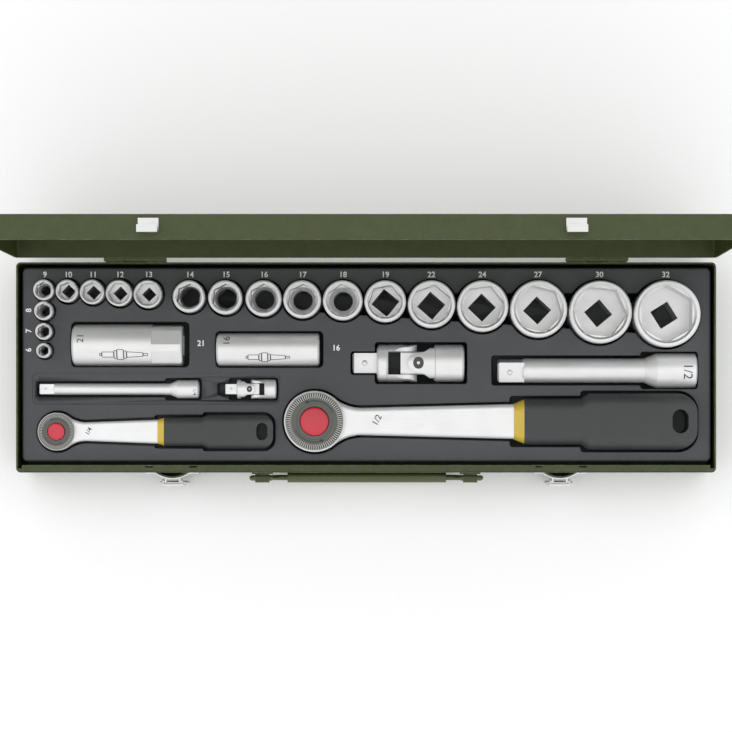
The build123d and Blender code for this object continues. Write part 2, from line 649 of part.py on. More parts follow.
def ratchet_body(spec):
    """Round head with its gear housing, tapered shank, and the tang inside the grip."""
    x, y, mid = spec.place
    r, low, high = spec.ring_r, spec.head_low, spec.head_high
    head = turned([(0, low), (r - 1.6, low), (r, low + 1.6), (r, high - 0.8), (r - 0.8, high), (0, high)])
    a, b = spec.shank_w0 / 2, spec.shank_w1 / 2
    points = [(spec.neck_x, -a), (spec.collar_x0, -b), (spec.collar_x0, b), (spec.neck_x, a)]
    plan = make_face(Polyline(*points, close=True)) + neck_outline(spec, 0)
    shank = prism(plan, mid - spec.shank_h / 2, mid + spec.shank_h / 2)
    rims = [e for e in shank.edges() if abs(e.center().Z - mid) > spec.shank_h * 0.4]
    long_edges = [e for e in rims if spec.neck_x * 0.6 < e.center().X < spec.collar_x0 - 1
                  and abs(e.center().Y) > a * 0.5]
    shank = fillet(long_edges, spec.shank_h * 0.24)
    tang = block(spec.collar_x0 - 1, spec.tang_x, -spec.tang_w / 2, spec.tang_w / 2,
                 mid - spec.tang_h / 2, mid + spec.tang_h / 2)
    body = head + [shank, tang]
    cavity = post(0, 0, low + spec.web, high + 1, spec.cavity_r)
    seat = post(0, 0, spec.dial_seat - 0.3, high + 1, spec.dial_r + 0.25)
    hole = post(0, 0, low - 1, low + spec.web + 1, spec.journal_r + 2 * FIT)
    return Pos(x, y, 0) * (body - [cavity, seat, hole])


def ratchet_drive(spec):
    """Toothed gear, journal and square in one piece, bored for the release pin."""
    x, y, _ = spec.place
    low = spec.head_low
    gear_low, gear_high = low + spec.web + 0.3, spec.dial_seat - spec.ring_r * 0.22
    teeth = 24
    gear = Circle(spec.gear_r)
    for i in range(teeth):
        notch = Rot(0, 0, i * 360 / teeth) * Pos(spec.gear_r, 0) * Rot(0, 0, 45) * Rectangle(1.1, 1.1)
        gear = gear - notch
    body = prism(gear, gear_low, gear_high)
    body = body + post(0, 0, low - 0.6, gear_low, spec.journal_r)
    square = prism(Rectangle(spec.drive, spec.drive), spec.drive_low, low - 0.5)
    square = chamfer(square.faces().sort_by(Axis.Z)[0].edges(), spec.drive * 0.08)
    ball = Pos(spec.drive * 0.42, 0, spec.drive_low + spec.drive * 0.6) * Sphere(spec.drive * 0.17)
    body = body + [square, ball]
    return Pos(x, y, 0) * (body - post(0, 0, spec.drive_low + 2.5, gear_high + 1, spec.stem_r + 0.1))


def ratchet_pawl(spec):
    """Curved pawl between the gear and the housing wall, carried round by the dial."""
    x, y, _ = spec.place
    inner, outer = spec.gear_r + 0.35, spec.cavity_r - 0.35
    ring = Circle(outer) - Circle(inner)
    sector = make_face(Polyline((0, 0), (40, -26), (40, 26), close=True))
    low = spec.head_low + spec.web + 0.6
    return Pos(x, y, 0) * prism(ring & sector, low, spec.dial_seat - spec.ring_r * 0.24)


def ratchet_dial(spec):
    """Reversing dial with a notched rim and a peg that carries the pawl."""
    x, y, _ = spec.place
    low, high = spec.dial_seat, spec.head_high + spec.ring_r * 0.04
    r = spec.dial_r
    dial = turned([(0, low), (r, low), (r, high - 0.5), (r - 0.5, high), (0, high)])
    grips = 40
    for i in range(grips):
        notch = Rot(0, 0, i * 360 / grips) * Pos(r, 0, high) * Box(r * 0.34, r * 0.075, r * 0.09)
        dial = dial - notch
    peg_r = (spec.gear_r + spec.cavity_r) / 2
    peg = post(peg_r, 0, spec.dial_seat - spec.ring_r * 0.24, low + 0.2, spec.ring_r * 0.07)
    hole = post(0, 0, low - 1, high + 1, spec.button_r + 0.2)
    return Pos(x, y, 0) * (dial - hole + peg)


def ratchet_button(spec):
    """Quick-release button, domed cap and stem."""
    x, y, _ = spec.place
    low, high = spec.dial_seat + 0.1, spec.head_high + spec.ring_r * 0.12
    r = spec.button_r
    cap = turned([(0, low), (r, low), (r, high - 1.0), (r - 0.35, high - 0.4), (r - 1.2, high), (0, high)])
    stem = post(0, 0, spec.drive_low + 3.0 + spec.ring_r * 0.14, low + 0.2, spec.stem_r)
    return Pos(x, y, 0) * (cap + stem)


def section_box(width, height, corner, x0, x1):
    """A bar along X with a rounded section, centred on the tool's axis."""
    return Pos(x0, 0, 0) * extrude(Plane.YZ * RectangleRounded(width, height, corner), x1 - x0)


def tang_cut(spec):
    """The square channel for the tang."""
    w, h = spec.tang_w + 0.1, spec.tang_h + 0.1
    return block(spec.collar_x0 - 2, spec.tang_x + 0.2, -w / 2, w / 2, -h / 2, h / 2)


def ratchet_collar(spec):
    """Flared ring between the shank and the grip."""
    w0, w1 = spec.collar_w
    h0, h1 = spec.shank_h + 1.0, spec.rear_h * 0.9
    start = Plane.YZ.offset(spec.collar_x0) * RectangleRounded(w0, h0, h0 * 0.42)
    end = Plane.YZ.offset(spec.collar_x1) * RectangleRounded(w1, h1, h1 * 0.42)
    return Pos(*spec.place) * (loft([start, end]) - tang_cut(spec))


def ratchet_grip(spec):
    """Stepped grip with a rounded end and an oval hanging hole."""
    h0, h1 = spec.rear_h * 0.92, spec.rear_h
    front = section_box(spec.front_w, h0, h0 * 0.4, spec.collar_x1, spec.step_x0)
    a = Plane.YZ.offset(spec.step_x0) * RectangleRounded(spec.front_w, h0, h0 * 0.4)
    b = Plane.YZ.offset(spec.step_x1) * RectangleRounded(spec.rear_w, h1, h1 * 0.4)
    rear = section_box(spec.rear_w, h1, h1 * 0.4, spec.step_x1, spec.end_x)
    grip = front + [loft([a, b]), rear]
    length = spec.end_x - spec.collar_x1 + 40
    outline = Pos(spec.end_x - length / 2, 0) * RectangleRounded(length, spec.rear_w, spec.end_r)
    grip = grip & prism(outline, -h1, h1)
    wide, tall = spec.hole_size
    hang = Pos(spec.hole_x, 0) * Rot(0, 0, 90) * SlotOverall(tall, wide)
    return Pos(*spec.place) * (grip - tang_cut(spec) - prism(hang, -h1, h1))


# ---------------------------------------------------------------- build everything
def main():
    os.makedirs("parts", exist_ok=True)
    save("case_base", case_base())
    save("tray_insert", tray_insert())
    save("hinge_base_leaves", hinge_base_leaf(-HINGE_X), hinge_base_leaf(HINGE_X))
    save("hinge_pins", hinge_pin(-HINGE_X), hinge_pin(HINGE_X))
    save("latch_plates", latch_plate(-LATCH_X), latch_plate(LATCH_X))
    save("handle_brackets", handle_bracket(-1), handle_bracket(1))
    save("handle_bail", handle_bail())
    save("handle_grip", handle_grip())
    save("case_lid", opened(case_lid_closed()))
    save("hinge_lid_leaves", opened(hinge_lid_leaf(-HINGE_X)), opened(hinge_lid_leaf(HINGE_X)))
    save("latch_keepers", opened(latch_keeper(-LATCH_X)), opened(latch_keeper(LATCH_X)))
    for name, x in (("left", -LATCH_X), ("right", LATCH_X)):
        save(f"latch_lever_{name}", latch_lever(x))
        save(f"latch_bail_{name}", latch_bail(x))
    for size in PLACES:
        save(f"socket_{size:02d}", socket(size))
    save("spark_socket_21", spark_socket(Lying.SPARK_21, 21, 27.0, 70.3, 50.8))
    save("spark_socket_16", spark_socket(Lying.SPARK_16, 16, 21.3, 65.5, 0))
    save("spark_insert_21", spark_insert(Lying.SPARK_21, 21))
    save("spark_insert_16", spark_insert(Lying.SPARK_16, 16))
    save("extension_quarter", extension(Lying.EXT_QUARTER, QUARTER, 101.9, 8.0, 3.7, (83.5, 88.5), 5.85, 0))
    save("extension_half", extension(Lying.EXT_HALF, HALF, 127.3, 15.5, 7.85, (93.9, 101.9), 11.25, 12))
    for name, spec in (("half", UJ_HALF), ("quarter", UJ_QUARTER)):
        save(f"ujoint_{name}_driver", ujoint_driver(spec))
        save(f"ujoint_{name}_cross", ujoint_cross(spec))
        save(f"ujoint_{name}_socket", ujoint_socket(spec))
    for name, spec in (("half", RATCHET_HALF), ("quarter", RATCHET_QUARTER)):
        save(f"ratchet_{name}_body", ratchet_body(spec))
        save(f"ratchet_{name}_drive", ratchet_drive(spec))
        save(f"ratchet_{name}_pawl", ratchet_pawl(spec))
        save(f"ratchet_{name}_dial", ratchet_dial(spec))
        save(f"ratchet_{name}_button", ratchet_button(spec))
        save(f"ratchet_{name}_collar", ratchet_collar(spec))
        save(f"ratchet_{name}_grip", ratchet_grip(spec))


main()
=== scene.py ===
"""Looks of a socket wrench set in its open steel case: finishes, soft edges, numerals, knurls and studio."""
from __future__ import annotations

import json
import logging
import math
from dataclasses import dataclass
from enum import Enum
from typing import Sequence

import bmesh
import bpy
from mathutils import Matrix, Vector

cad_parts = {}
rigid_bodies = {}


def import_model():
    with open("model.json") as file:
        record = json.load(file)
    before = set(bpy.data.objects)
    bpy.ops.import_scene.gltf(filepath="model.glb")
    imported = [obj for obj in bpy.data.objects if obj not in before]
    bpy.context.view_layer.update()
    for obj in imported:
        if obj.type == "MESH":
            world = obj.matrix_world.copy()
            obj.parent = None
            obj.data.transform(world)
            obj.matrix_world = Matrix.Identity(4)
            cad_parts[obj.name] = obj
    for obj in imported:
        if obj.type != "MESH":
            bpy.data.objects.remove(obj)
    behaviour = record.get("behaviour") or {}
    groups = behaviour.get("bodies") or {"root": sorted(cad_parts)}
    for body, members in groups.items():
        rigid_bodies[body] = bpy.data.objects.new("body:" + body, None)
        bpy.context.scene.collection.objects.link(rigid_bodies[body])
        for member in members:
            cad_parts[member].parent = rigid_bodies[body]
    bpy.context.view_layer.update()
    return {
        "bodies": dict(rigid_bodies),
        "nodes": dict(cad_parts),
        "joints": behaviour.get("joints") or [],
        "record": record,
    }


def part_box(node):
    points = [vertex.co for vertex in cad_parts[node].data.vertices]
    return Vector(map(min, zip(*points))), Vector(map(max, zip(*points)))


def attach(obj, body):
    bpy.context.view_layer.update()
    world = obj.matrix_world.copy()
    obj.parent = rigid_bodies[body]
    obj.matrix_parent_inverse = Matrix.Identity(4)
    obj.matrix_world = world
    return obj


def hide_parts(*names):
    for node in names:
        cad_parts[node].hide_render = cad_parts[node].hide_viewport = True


LOG = logging.getLogger("socket_set")
MM = 0.001
ETCH_LIFT = 0.04          # how far the middle of an etched mark lies above the metal, in millimetres
WRAP_STEP = 0.4 * MM      # width of the strips that a flat mark is cut into before it is bent round a barrel
EVEN = (1.0, 1.0, 1.0)    # coordinates that aren't stretched
MIX_SHARE, MIX_FIRST, MIX_SECOND, MIX_RESULT = 0, 6, 7, 2    # the colour sockets of a Mix node
Colour = tuple[float, float, float]
Place = tuple[float, float, float]


# ---------------------------------------------------------------- node trees
class Tree:
    """A node tree with short calls that add and join nodes."""

    def __init__(self, tree: bpy.types.NodeTree) -> None:
        """Keeps the tree that the calls add to."""
        self.tree = tree

    def add(self, kind: str, **settings: object) -> bpy.types.Node:
        """Adds one node.

        Args:
            kind: the node's type name in Blender.
            **settings: properties of the node.

        Returns:
            The new node.
        """
        node = self.tree.nodes.new(kind)
        for name, value in settings.items():
            setattr(node, name, value)
        return node

    def feed(self, socket: bpy.types.NodeSocket, value: object) -> None:
        """Joins a socket to another one, or sets its number.

        Args:
            socket: the input to feed.
            value: an output socket, or a plain number, colour or vector.
        """
        if isinstance(value, bpy.types.NodeSocket):
            self.tree.links.new(value, socket)
        elif isinstance(value, tuple) and len(value) == 3 and socket.type == "RGBA":
            socket.default_value = (*value, 1.0)
        else:
            socket.default_value = value

    def math(self, operation: str, a: object, b: object = 0.0, clamp: bool = False) -> bpy.types.NodeSocket:
        """Adds a Math node.

        Args:
            operation: Blender's name of the operation.
            a: first value.
            b: second value.
            clamp: whether the result is kept between 0 and 1.

        Returns:
            The result's socket.
        """
        node = self.add("ShaderNodeMath", operation=operation, use_clamp=clamp)
        self.feed(node.inputs[0], a)
        self.feed(node.inputs[1], b)
        return node.outputs[0]

    def mix(self, share: object, first: object, second: object) -> bpy.types.NodeSocket:
        """Blends two colours.

        Args:
            share: 0 for all of the first, 1 for all of the second.
            first: the first colour.
            second: the second colour.

        Returns:
            The blended colour's socket.
        """
        node = self.add("ShaderNodeMix", data_type="RGBA", clamp_factor=True)
        self.feed(node.inputs[MIX_SHARE], share)
        self.feed(node.inputs[MIX_FIRST], first)
        self.feed(node.inputs[MIX_SECOND], second)
        return node.outputs[MIX_RESULT]

    def spread(self, value: object, low: float, high: float,
               to_low: float, to_high: float) -> bpy.types.NodeSocket:
        """Maps a range of values to another one, clamped.

        Args:
            value: what is mapped.
            low: start of the range it comes from.
            high: end of the range it comes from.
            to_low: start of the range it goes to.
            to_high: end of the range it goes to.

        Returns:
            The mapped value's socket.
        """
        node = self.add("ShaderNodeMapRange", clamp=True)
        for socket, number in zip(node.inputs[:5], (value, low, high, to_low, to_high)):
            self.feed(socket, number)
        return node.outputs[0]

    def noise(self, vector: object, scale: object,
              detail: float = 2.0, rough: float = 0.5) -> bpy.types.NodeSocket:
        """Adds a noise pattern.

        Args:
            vector: where the pattern is read.
            scale: how fine it is, in cells a metre.
            detail: octaves of finer noise.
            rough: how strong those octaves are.

        Returns:
            The noise value's socket.
        """
        node = self.add("ShaderNodeTexNoise")
        self.feed(node.inputs["Vector"], vector)
        self.feed(node.inputs["Scale"], scale)
        node.inputs["Detail"].default_value = detail
        node.inputs["Roughness"].default_value = rough
        return node.outputs[0]

    def stretched(self, stretch: object, turn: Place = (0.0, 0.0, 0.0)) -> bpy.types.NodeSocket:
        """Object coordinates, stretched and turned.

        Args:
            stretch: a scale for each axis.
            turn: Euler angles in radians.

        Returns:
            The coordinates' socket.
        """
        place = self.add("ShaderNodeTexCoord")
        mapping = self.add("ShaderNodeMapping")
        self.feed(mapping.inputs["Vector"], place.outputs["Object"])
        mapping.inputs["Rotation"].default_value = turn
        self.feed(mapping.inputs["Scale"], stretch)
        return mapping.outputs[0]


class EffectGroup:
    """A shader node group that several materials share, built once."""

    NAME = "effect"
    NUMBERS: dict[str, float] = {}
    VECTORS: dict[str, Place] = {}

    @classmethod
    def tree(cls) -> bpy.types.NodeTree:
        """The group's node tree, made the first time it is asked for."""
        made = bpy.data.node_groups.get(cls.NAME)
        if made:
            return made
        made = bpy.data.node_groups.new(cls.NAME, "ShaderNodeTree")
        for name, number in cls.NUMBERS.items():
            socket = made.interface.new_socket(name, in_out="INPUT", socket_type="NodeSocketFloat")
            socket.default_value = number
        for name, vector in cls.VECTORS.items():
            socket = made.interface.new_socket(name, in_out="INPUT", socket_type="NodeSocketVector")
            socket.default_value = vector
        made.interface.new_socket("Value", in_out="OUTPUT", socket_type="NodeSocketFloat")
        tree = Tree(made)
        inputs = tree.add("NodeGroupInput")
        outputs = tree.add("NodeGroupOutput")
        tree.feed(outputs.inputs[0], cls.pattern(tree, inputs))
        return made

    @classmethod
    def pattern(cls, tree: Tree, inputs: bpy.types.Node) -> bpy.types.NodeSocket:
        """Builds the group's pattern and gives its output.

        Args:
            tree: the group's tree.
            inputs: the node that gives the group's inputs.

        Returns:
            The pattern's socket.
        """
        raise NotImplementedError

    @classmethod
    def use(cls, tree: Tree, **values: object) -> bpy.types.NodeSocket:
        """Places the group in a material.

        Args:
            tree: the material's tree.
            **values: this material's own values, by input name.

        Returns:
            The group's output socket.
        """
        node = tree.add("ShaderNodeGroup", node_tree=cls.tree())
        for name, value in values.items():
            tree.feed(node.inputs[name], value)
        return node.outputs[0]


class FineGrain(EffectGroup):
    """Fine even grain of a moulded or sprayed surface."""

    NAME = "fine_grain"
    NUMBERS = {"Scale": 2500.0}
    COARSER = 0.27       # the wide grain's scale against the fine grain's
    FINE_SHARE, WIDE_SHARE = 0.65, 0.35

    @classmethod
    def pattern(cls, tree: Tree, inputs: bpy.types.Node) -> bpy.types.NodeSocket:
        """Two sizes of grain laid over each other.

        Args:
            tree: the group's tree.
            inputs: the node that gives the group's inputs.

        Returns:
            The pattern's socket.
        """
        where = tree.stretched(EVEN)
        fine = tree.noise(where, inputs.outputs["Scale"], 2.0, 0.6)
        wide = tree.noise(where, tree.math("MULTIPLY", inputs.outputs["Scale"], cls.COARSER), 1.0, 0.5)
        fine, wide = tree.math("MULTIPLY", fine, cls.FINE_SHARE), tree.math("MULTIPLY", wide, cls.WIDE_SHARE)
        return tree.math("ADD", fine, wide)


class BrushLines(EffectGroup):
    """Fine lines left by polishing, stretched along one axis."""

    NAME = "brush_lines"
    NUMBERS = {"Scale": 900.0}
    VECTORS = {"Stretch": (0.02, 1.0, 1.0)}

    @classmethod
    def pattern(cls, tree: Tree, inputs: bpy.types.Node) -> bpy.types.NodeSocket:
        """Noise read through stretched coordinates, sharpened a little.

        Args:
            tree: the group's tree.
            inputs: the node that gives the group's inputs.

        Returns:
            The pattern's socket.
        """
        where = tree.stretched(inputs.outputs["Stretch"])
        lines = tree.noise(where, inputs.outputs["Scale"], 3.0, 0.65)
        return tree.spread(lines, 0.32, 0.68, 0.0, 1.0)


class HandlingMarks(EffectGroup):
    """Faint smudges with a few hair scratches in two directions."""

    NAME = "handling_marks"
    NUMBERS = {"Scale": 60.0, "Scratches": 0.4}
    SMUDGE_SHARE = 0.6
    SCRATCH_TURNS = (0.5, -0.9)        # radians about Z
    SCRATCH_STRETCH = (0.04, 1.0, 1.0)
    SCRATCH_SCALE = 1400.0

    @classmethod
    def pattern(cls, tree: Tree, inputs: bpy.types.Node) -> bpy.types.NodeSocket:
        """Blotches plus thin thresholded lines.

        Args:
            tree: the group's tree.
            inputs: the node that gives the group's inputs.

        Returns:
            The pattern's socket.
        """
        smudge = tree.noise(tree.stretched(EVEN), inputs.outputs["Scale"], 4.0, 0.6)
        smudge = tree.spread(smudge, 0.45, 0.75, 0.0, 1.0)
        total = tree.math("MULTIPLY", smudge, cls.SMUDGE_SHARE)
        for turn in cls.SCRATCH_TURNS:
            where = tree.stretched(cls.SCRATCH_STRETCH, (0.0, 0.0, turn))
            line = tree.spread(tree.noise(where, cls.SCRATCH_SCALE, 1.0, 0.4), 0.70, 0.74, 0.0, 1.0)
            total = tree.math("ADD", total, tree.math("MULTIPLY", line, inputs.outputs["Scratches"]))
        return tree.math("MINIMUM", total, 1.0)


class DustFilm(EffectGroup):
    """Thin dust on faces that look upwards."""

    NAME = "dust_film"
    NUMBERS = {"Scale": 140.0, "Amount": 0.3}

    @classmethod
    def pattern(cls, tree: Tree, inputs: bpy.types.Node) -> bpy.types.NodeSocket:
        """How far the face looks up, broken by noise.

        Args:
            tree: the group's tree.
            inputs: the node that gives the group's inputs.

        Returns:
            The pattern's socket.
        """
        normal = tree.add("ShaderNodeNewGeometry").outputs["Normal"]
        apart = tree.add("ShaderNodeSeparateXYZ")
        tree.feed(apart.inputs[0], normal)
        up = tree.spread(apart.outputs["Z"], 0.6, 1.0, 0.0, 1.0)
        cloud = tree.noise(tree.stretched(EVEN), inputs.outputs["Scale"], 5.0, 0.7)
        cloud = tree.spread(cloud, 0.35, 0.8, 0.2, 1.0)
        return tree.math("MULTIPLY", tree.math("MULTIPLY", up, cloud), inputs.outputs["Amount"])


class EdgeWear(EffectGroup):
    """Mask of the sharp outer edges, broken up as by rubbing."""

    NAME = "edge_wear"
    NUMBERS = {"Radius": 0.0004, "Amount": 1.0}
    PATCH_SCALE = 260.0

    @classmethod
    def pattern(cls, tree: Tree, inputs: bpy.types.Node) -> bpy.types.NodeSocket:
        """Where a rounded normal leaves the true one, times noise.

        Args:
            tree: the group's tree.
            inputs: the node that gives the group's inputs.

        Returns:
            The pattern's socket.
        """
        soft = tree.add("ShaderNodeBevel", samples=4)
        tree.feed(soft.inputs["Radius"], inputs.outputs["Radius"])
        true = tree.add("ShaderNodeNewGeometry").outputs["Normal"]
        dot = tree.add("ShaderNodeVectorMath", operation="DOT_PRODUCT")
        tree.feed(dot.inputs[0], soft.outputs[0])
        tree.feed(dot.inputs[1], true)
        edge = tree.spread(dot.outputs["Value"], 0.98, 0.80, 0.0, 1.0)
        patch = tree.noise(tree.stretched(EVEN), cls.PATCH_SCALE, 4.0, 0.7)
        patch = tree.spread(patch, 0.42, 0.62, 0.0, 1.0)
        return tree.math("MULTIPLY", tree.math("MULTIPLY", edge, patch), inputs.outputs["Amount"])


# ---------------------------------------------------------------- finishes
@dataclass(frozen=True)
class Finish:
    """A surface finish with its own procedural material.

    Args:
        name: the material's name.
        colour: linear base colour.
        rough: middle roughness.
        metal: share of metal.
        coat: strength of the clear coat.
        coat_rough: roughness of the clear coat.
        specular: strength of the plain reflection.
    """

    name: str
    colour: Colour
    rough: float
    metal: float = 0.0
    coat: float = 0.0
    coat_rough: float = 0.1
    specular: float = 0.5

    def material(self) -> bpy.types.Material:
        """The finish's material, made the first time it is asked for."""
        name = f"{self.name}_finish"
        made = bpy.data.materials.get(name)
        if made:
            return made
        made = bpy.data.materials.new(name)
        made.use_nodes = True
        made.node_tree.nodes.clear()
        tree = Tree(made.node_tree)
        shader = tree.add("ShaderNodeBsdfPrincipled")
        output = tree.add("ShaderNodeOutputMaterial")
        tree.feed(output.inputs["Surface"], shader.outputs[0])
        shader.inputs["Metallic"].default_value = self.metal
        shader.inputs["Coat Weight"].default_value = self.coat
        shader.inputs["Coat Roughness"].default_value = self.coat_rough
        shader.inputs["Specular IOR Level"].default_value = self.specular
        self.dress(tree, shader)
        return made

    def dress(self, tree: Tree, shader: bpy.types.Node) -> None:
        """Feeds the shader's colour, roughness and normal.

        Args:
            tree: the material's tree.
            shader: its shader node.
        """
        raise NotImplementedError

    def shade(self, factor: float) -> Colour:
        """The base colour, lighter or darker by a factor."""
        return tuple(channel * factor for channel in self.colour)

    @staticmethod
    def bump(tree: Tree, shader: bpy.types.Node, height: bpy.types.NodeSocket, depth: float) -> None:
        """Joins a height pattern to the shader's normal.

        Args:
            tree: the material's tree.
            shader: its shader node.
            height: pattern from 0 to 1.
            depth: height of the pattern in metres.
        """
        node = tree.add("ShaderNodeBump")
        node.inputs["Strength"].default_value = 1.0
        node.inputs["Distance"].default_value = depth
        tree.feed(node.inputs["Height"], height)
        tree.feed(shader.inputs["Normal"], node.outputs[0])


@dataclass(frozen=True)
class MouldedFinish(Finish):
    """Plastic or rubber with fine grain, cloudy tone, handling marks and dust."""

    grain: float = 2200.0
    depth: float = 0.00002
    cloud: float = 0.10
    dust: float = 0.25
    dust_colour: Colour = (0.35, 0.35, 0.34)
    marks: float = 0.08

    CLOUD_SCALE = 22.0
    DUST_COVER, DUST_ROUGH = 0.12, 0.3     # how much the dust pales and dulls the surface
    GRAIN_ROUGH = 0.1

    def dress(self, tree: Tree, shader: bpy.types.Node) -> None:
        """Grain, clouds of tone, smudged gloss, and dust that lies on top.

        Args:
            tree: the material's tree.
            shader: its shader node.
        """
        grain = FineGrain.use(tree, Scale=self.grain)
        cloud = tree.noise(tree.stretched(EVEN), self.CLOUD_SCALE, 3.0, 0.55)
        cloud = tree.spread(cloud, 0.35, 0.65, 0.0, 1.0)
        tone = tree.mix(cloud, self.shade(1 - self.cloud), self.shade(1 + self.cloud))
        tone = tree.mix(tree.spread(grain, 0.35, 0.7, 0.0, 0.35), tone, self.shade(0.7))
        dust = DustFilm.use(tree, Amount=self.dust)
        cover = tree.math("MULTIPLY", dust, self.DUST_COVER)
        tree.feed(shader.inputs["Base Color"], tree.mix(cover, tone, self.dust_colour))
        marks = HandlingMarks.use(tree, Scale=45.0, Scratches=0.5)
        rough = tree.math("ADD", self.rough, tree.math("MULTIPLY", marks, self.marks))
        rough = tree.math("ADD", rough, tree.math("MULTIPLY", grain, self.GRAIN_ROUGH))
        rough = tree.math("ADD", rough, tree.math("MULTIPLY", dust, self.DUST_ROUGH), clamp=True)
        tree.feed(shader.inputs["Roughness"], rough)
        self.bump(tree, shader, grain, self.depth)


@dataclass(frozen=True)
class MetalFinish(Finish):
    """Plated or ground metal with polishing lines and handling marks."""

    lines: float = 1100.0
    stretch: Place = (0.03, 1.0, 1.0)
    line_rough: float = 0.08
    depth: float = 0.000003
    marks: float = 0.10
    tint: Colour = (0.50, 0.50, 0.49)

    MARK_COVER, LINE_COVER = 0.16, 0.10    # how much the marks and the lines change the tone

    def dress(self, tree: Tree, shader: bpy.types.Node) -> None:
        """Lines in the gloss and height, smudges in the gloss and tone.

        Args:
            tree: the material's tree.
            shader: its shader node.
        """
        lines = BrushLines.use(tree, Scale=self.lines, Stretch=self.stretch)
        marks = HandlingMarks.use(tree, Scale=70.0, Scratches=0.6)
        tone = tree.mix(tree.math("MULTIPLY", marks, self.MARK_COVER), self.colour, self.tint)
        tone = tree.mix(tree.math("MULTIPLY", lines, self.LINE_COVER), tone, self.shade(0.82))
        tree.feed(shader.inputs["Base Color"], tone)
        rough = tree.math("ADD", self.rough, tree.math("MULTIPLY", lines, self.line_rough))
        rough = tree.math("ADD", rough, tree.math("MULTIPLY", marks, self.marks), clamp=True)
        tree.feed(shader.inputs["Roughness"], rough)
        self.bump(tree, shader, lines, self.depth)


@dataclass(frozen=True)
class EnamelFinish(Finish):
    """Stoved enamel on sheet steel: orange peel, mottling, rubbed edges and dust."""

    bare: Colour = (0.42, 0.43, 0.40)
    peel: float = 420.0
    depth: float = 0.00003
    wear: float = 0.7

    CLOUD_SCALE, SPECK_SCALE = 90.0, 750.0
    DUST_COLOUR = (0.4, 0.4, 0.36)
    DUST_COVER, DUST_ROUGH = 0.12, 0.2
    MARK_ROUGH = 0.15
    BARE_METAL = 0.7     # how metallic a rubbed edge is

    def dress(self, tree: Tree, shader: bpy.types.Node) -> None:
        """Mottled paint over steel that shows where the edges are rubbed.

        Args:
            tree: the material's tree.
            shader: its shader node.
        """
        peel = FineGrain.use(tree, Scale=self.peel)
        cloud = tree.noise(tree.stretched(EVEN), self.CLOUD_SCALE, 6.0, 0.75)
        paint = tree.mix(tree.spread(cloud, 0.35, 0.65, 0.0, 1.0), self.shade(0.94), self.shade(1.06))
        speck = tree.noise(tree.stretched(EVEN), self.SPECK_SCALE, 1.0, 0.5)
        speck = tree.spread(speck, 0.70, 0.76, 0.0, 0.35)
        paint = tree.mix(speck, paint, self.shade(0.6))
        wear = EdgeWear.use(tree, Amount=self.wear)
        dust = DustFilm.use(tree, Amount=0.5)
        paint = tree.mix(tree.math("MULTIPLY", dust, self.DUST_COVER), paint, self.DUST_COLOUR)
        tree.feed(shader.inputs["Base Color"], tree.mix(wear, paint, self.bare))
        tree.feed(shader.inputs["Metallic"], tree.math("MULTIPLY", wear, self.BARE_METAL))
        marks = HandlingMarks.use(tree, Scale=35.0, Scratches=0.7)
        rough = tree.math("ADD", self.rough, tree.math("MULTIPLY", marks, self.MARK_ROUGH))
        rough = tree.math("ADD", rough, tree.math("MULTIPLY", dust, self.DUST_ROUGH), clamp=True)
        tree.feed(shader.inputs["Roughness"], rough)
        self.bump(tree, shader, peel, self.depth)


@dataclass(frozen=True)
class InkFinish(Finish):
    """Printed or etched marking with uneven cover."""

    under: Colour = (0.3, 0.3, 0.3)

    def dress(self, tree: Tree, shader: bpy.types.Node) -> None:
        """Ink that is thinner in places.

        Args:
            tree: the material's tree.
            shader: its shader node.
        """
        grain = FineGrain.use(tree, Scale=1800.0)
        thin = tree.spread(grain, 0.55, 0.75, 0.0, 0.5)
        tree.feed(shader.inputs["Base Color"], tree.mix(thin, self.colour, self.under))
        rough = tree.spread(grain, 0.3, 0.7, self.rough - 0.05, self.rough + 0.1)
        tree.feed(shader.inputs["Roughness"], rough)
        self.bump(tree, shader, grain, 0.00001)


@dataclass(frozen=True)
class PaperFinish(Finish):
    """Pale seamless studio paper."""

    def dress(self, tree: Tree, shader: bpy.types.Node) -> None:
        """Almost even, with a trace of fibre.

        Args:
            tree: the material's tree.
            shader: its shader node.
        """
        fibre = FineGrain.use(tree, Scale=900.0)
        tree.feed(shader.inputs["Base Color"], tree.mix(fibre, self.shade(0.985), self.colour))
        tree.feed(shader.inputs["Roughness"], tree.spread(fibre, 0.3, 0.7, self.rough - 0.05, self.rough))
        self.bump(tree, shader, fibre, 0.00002)


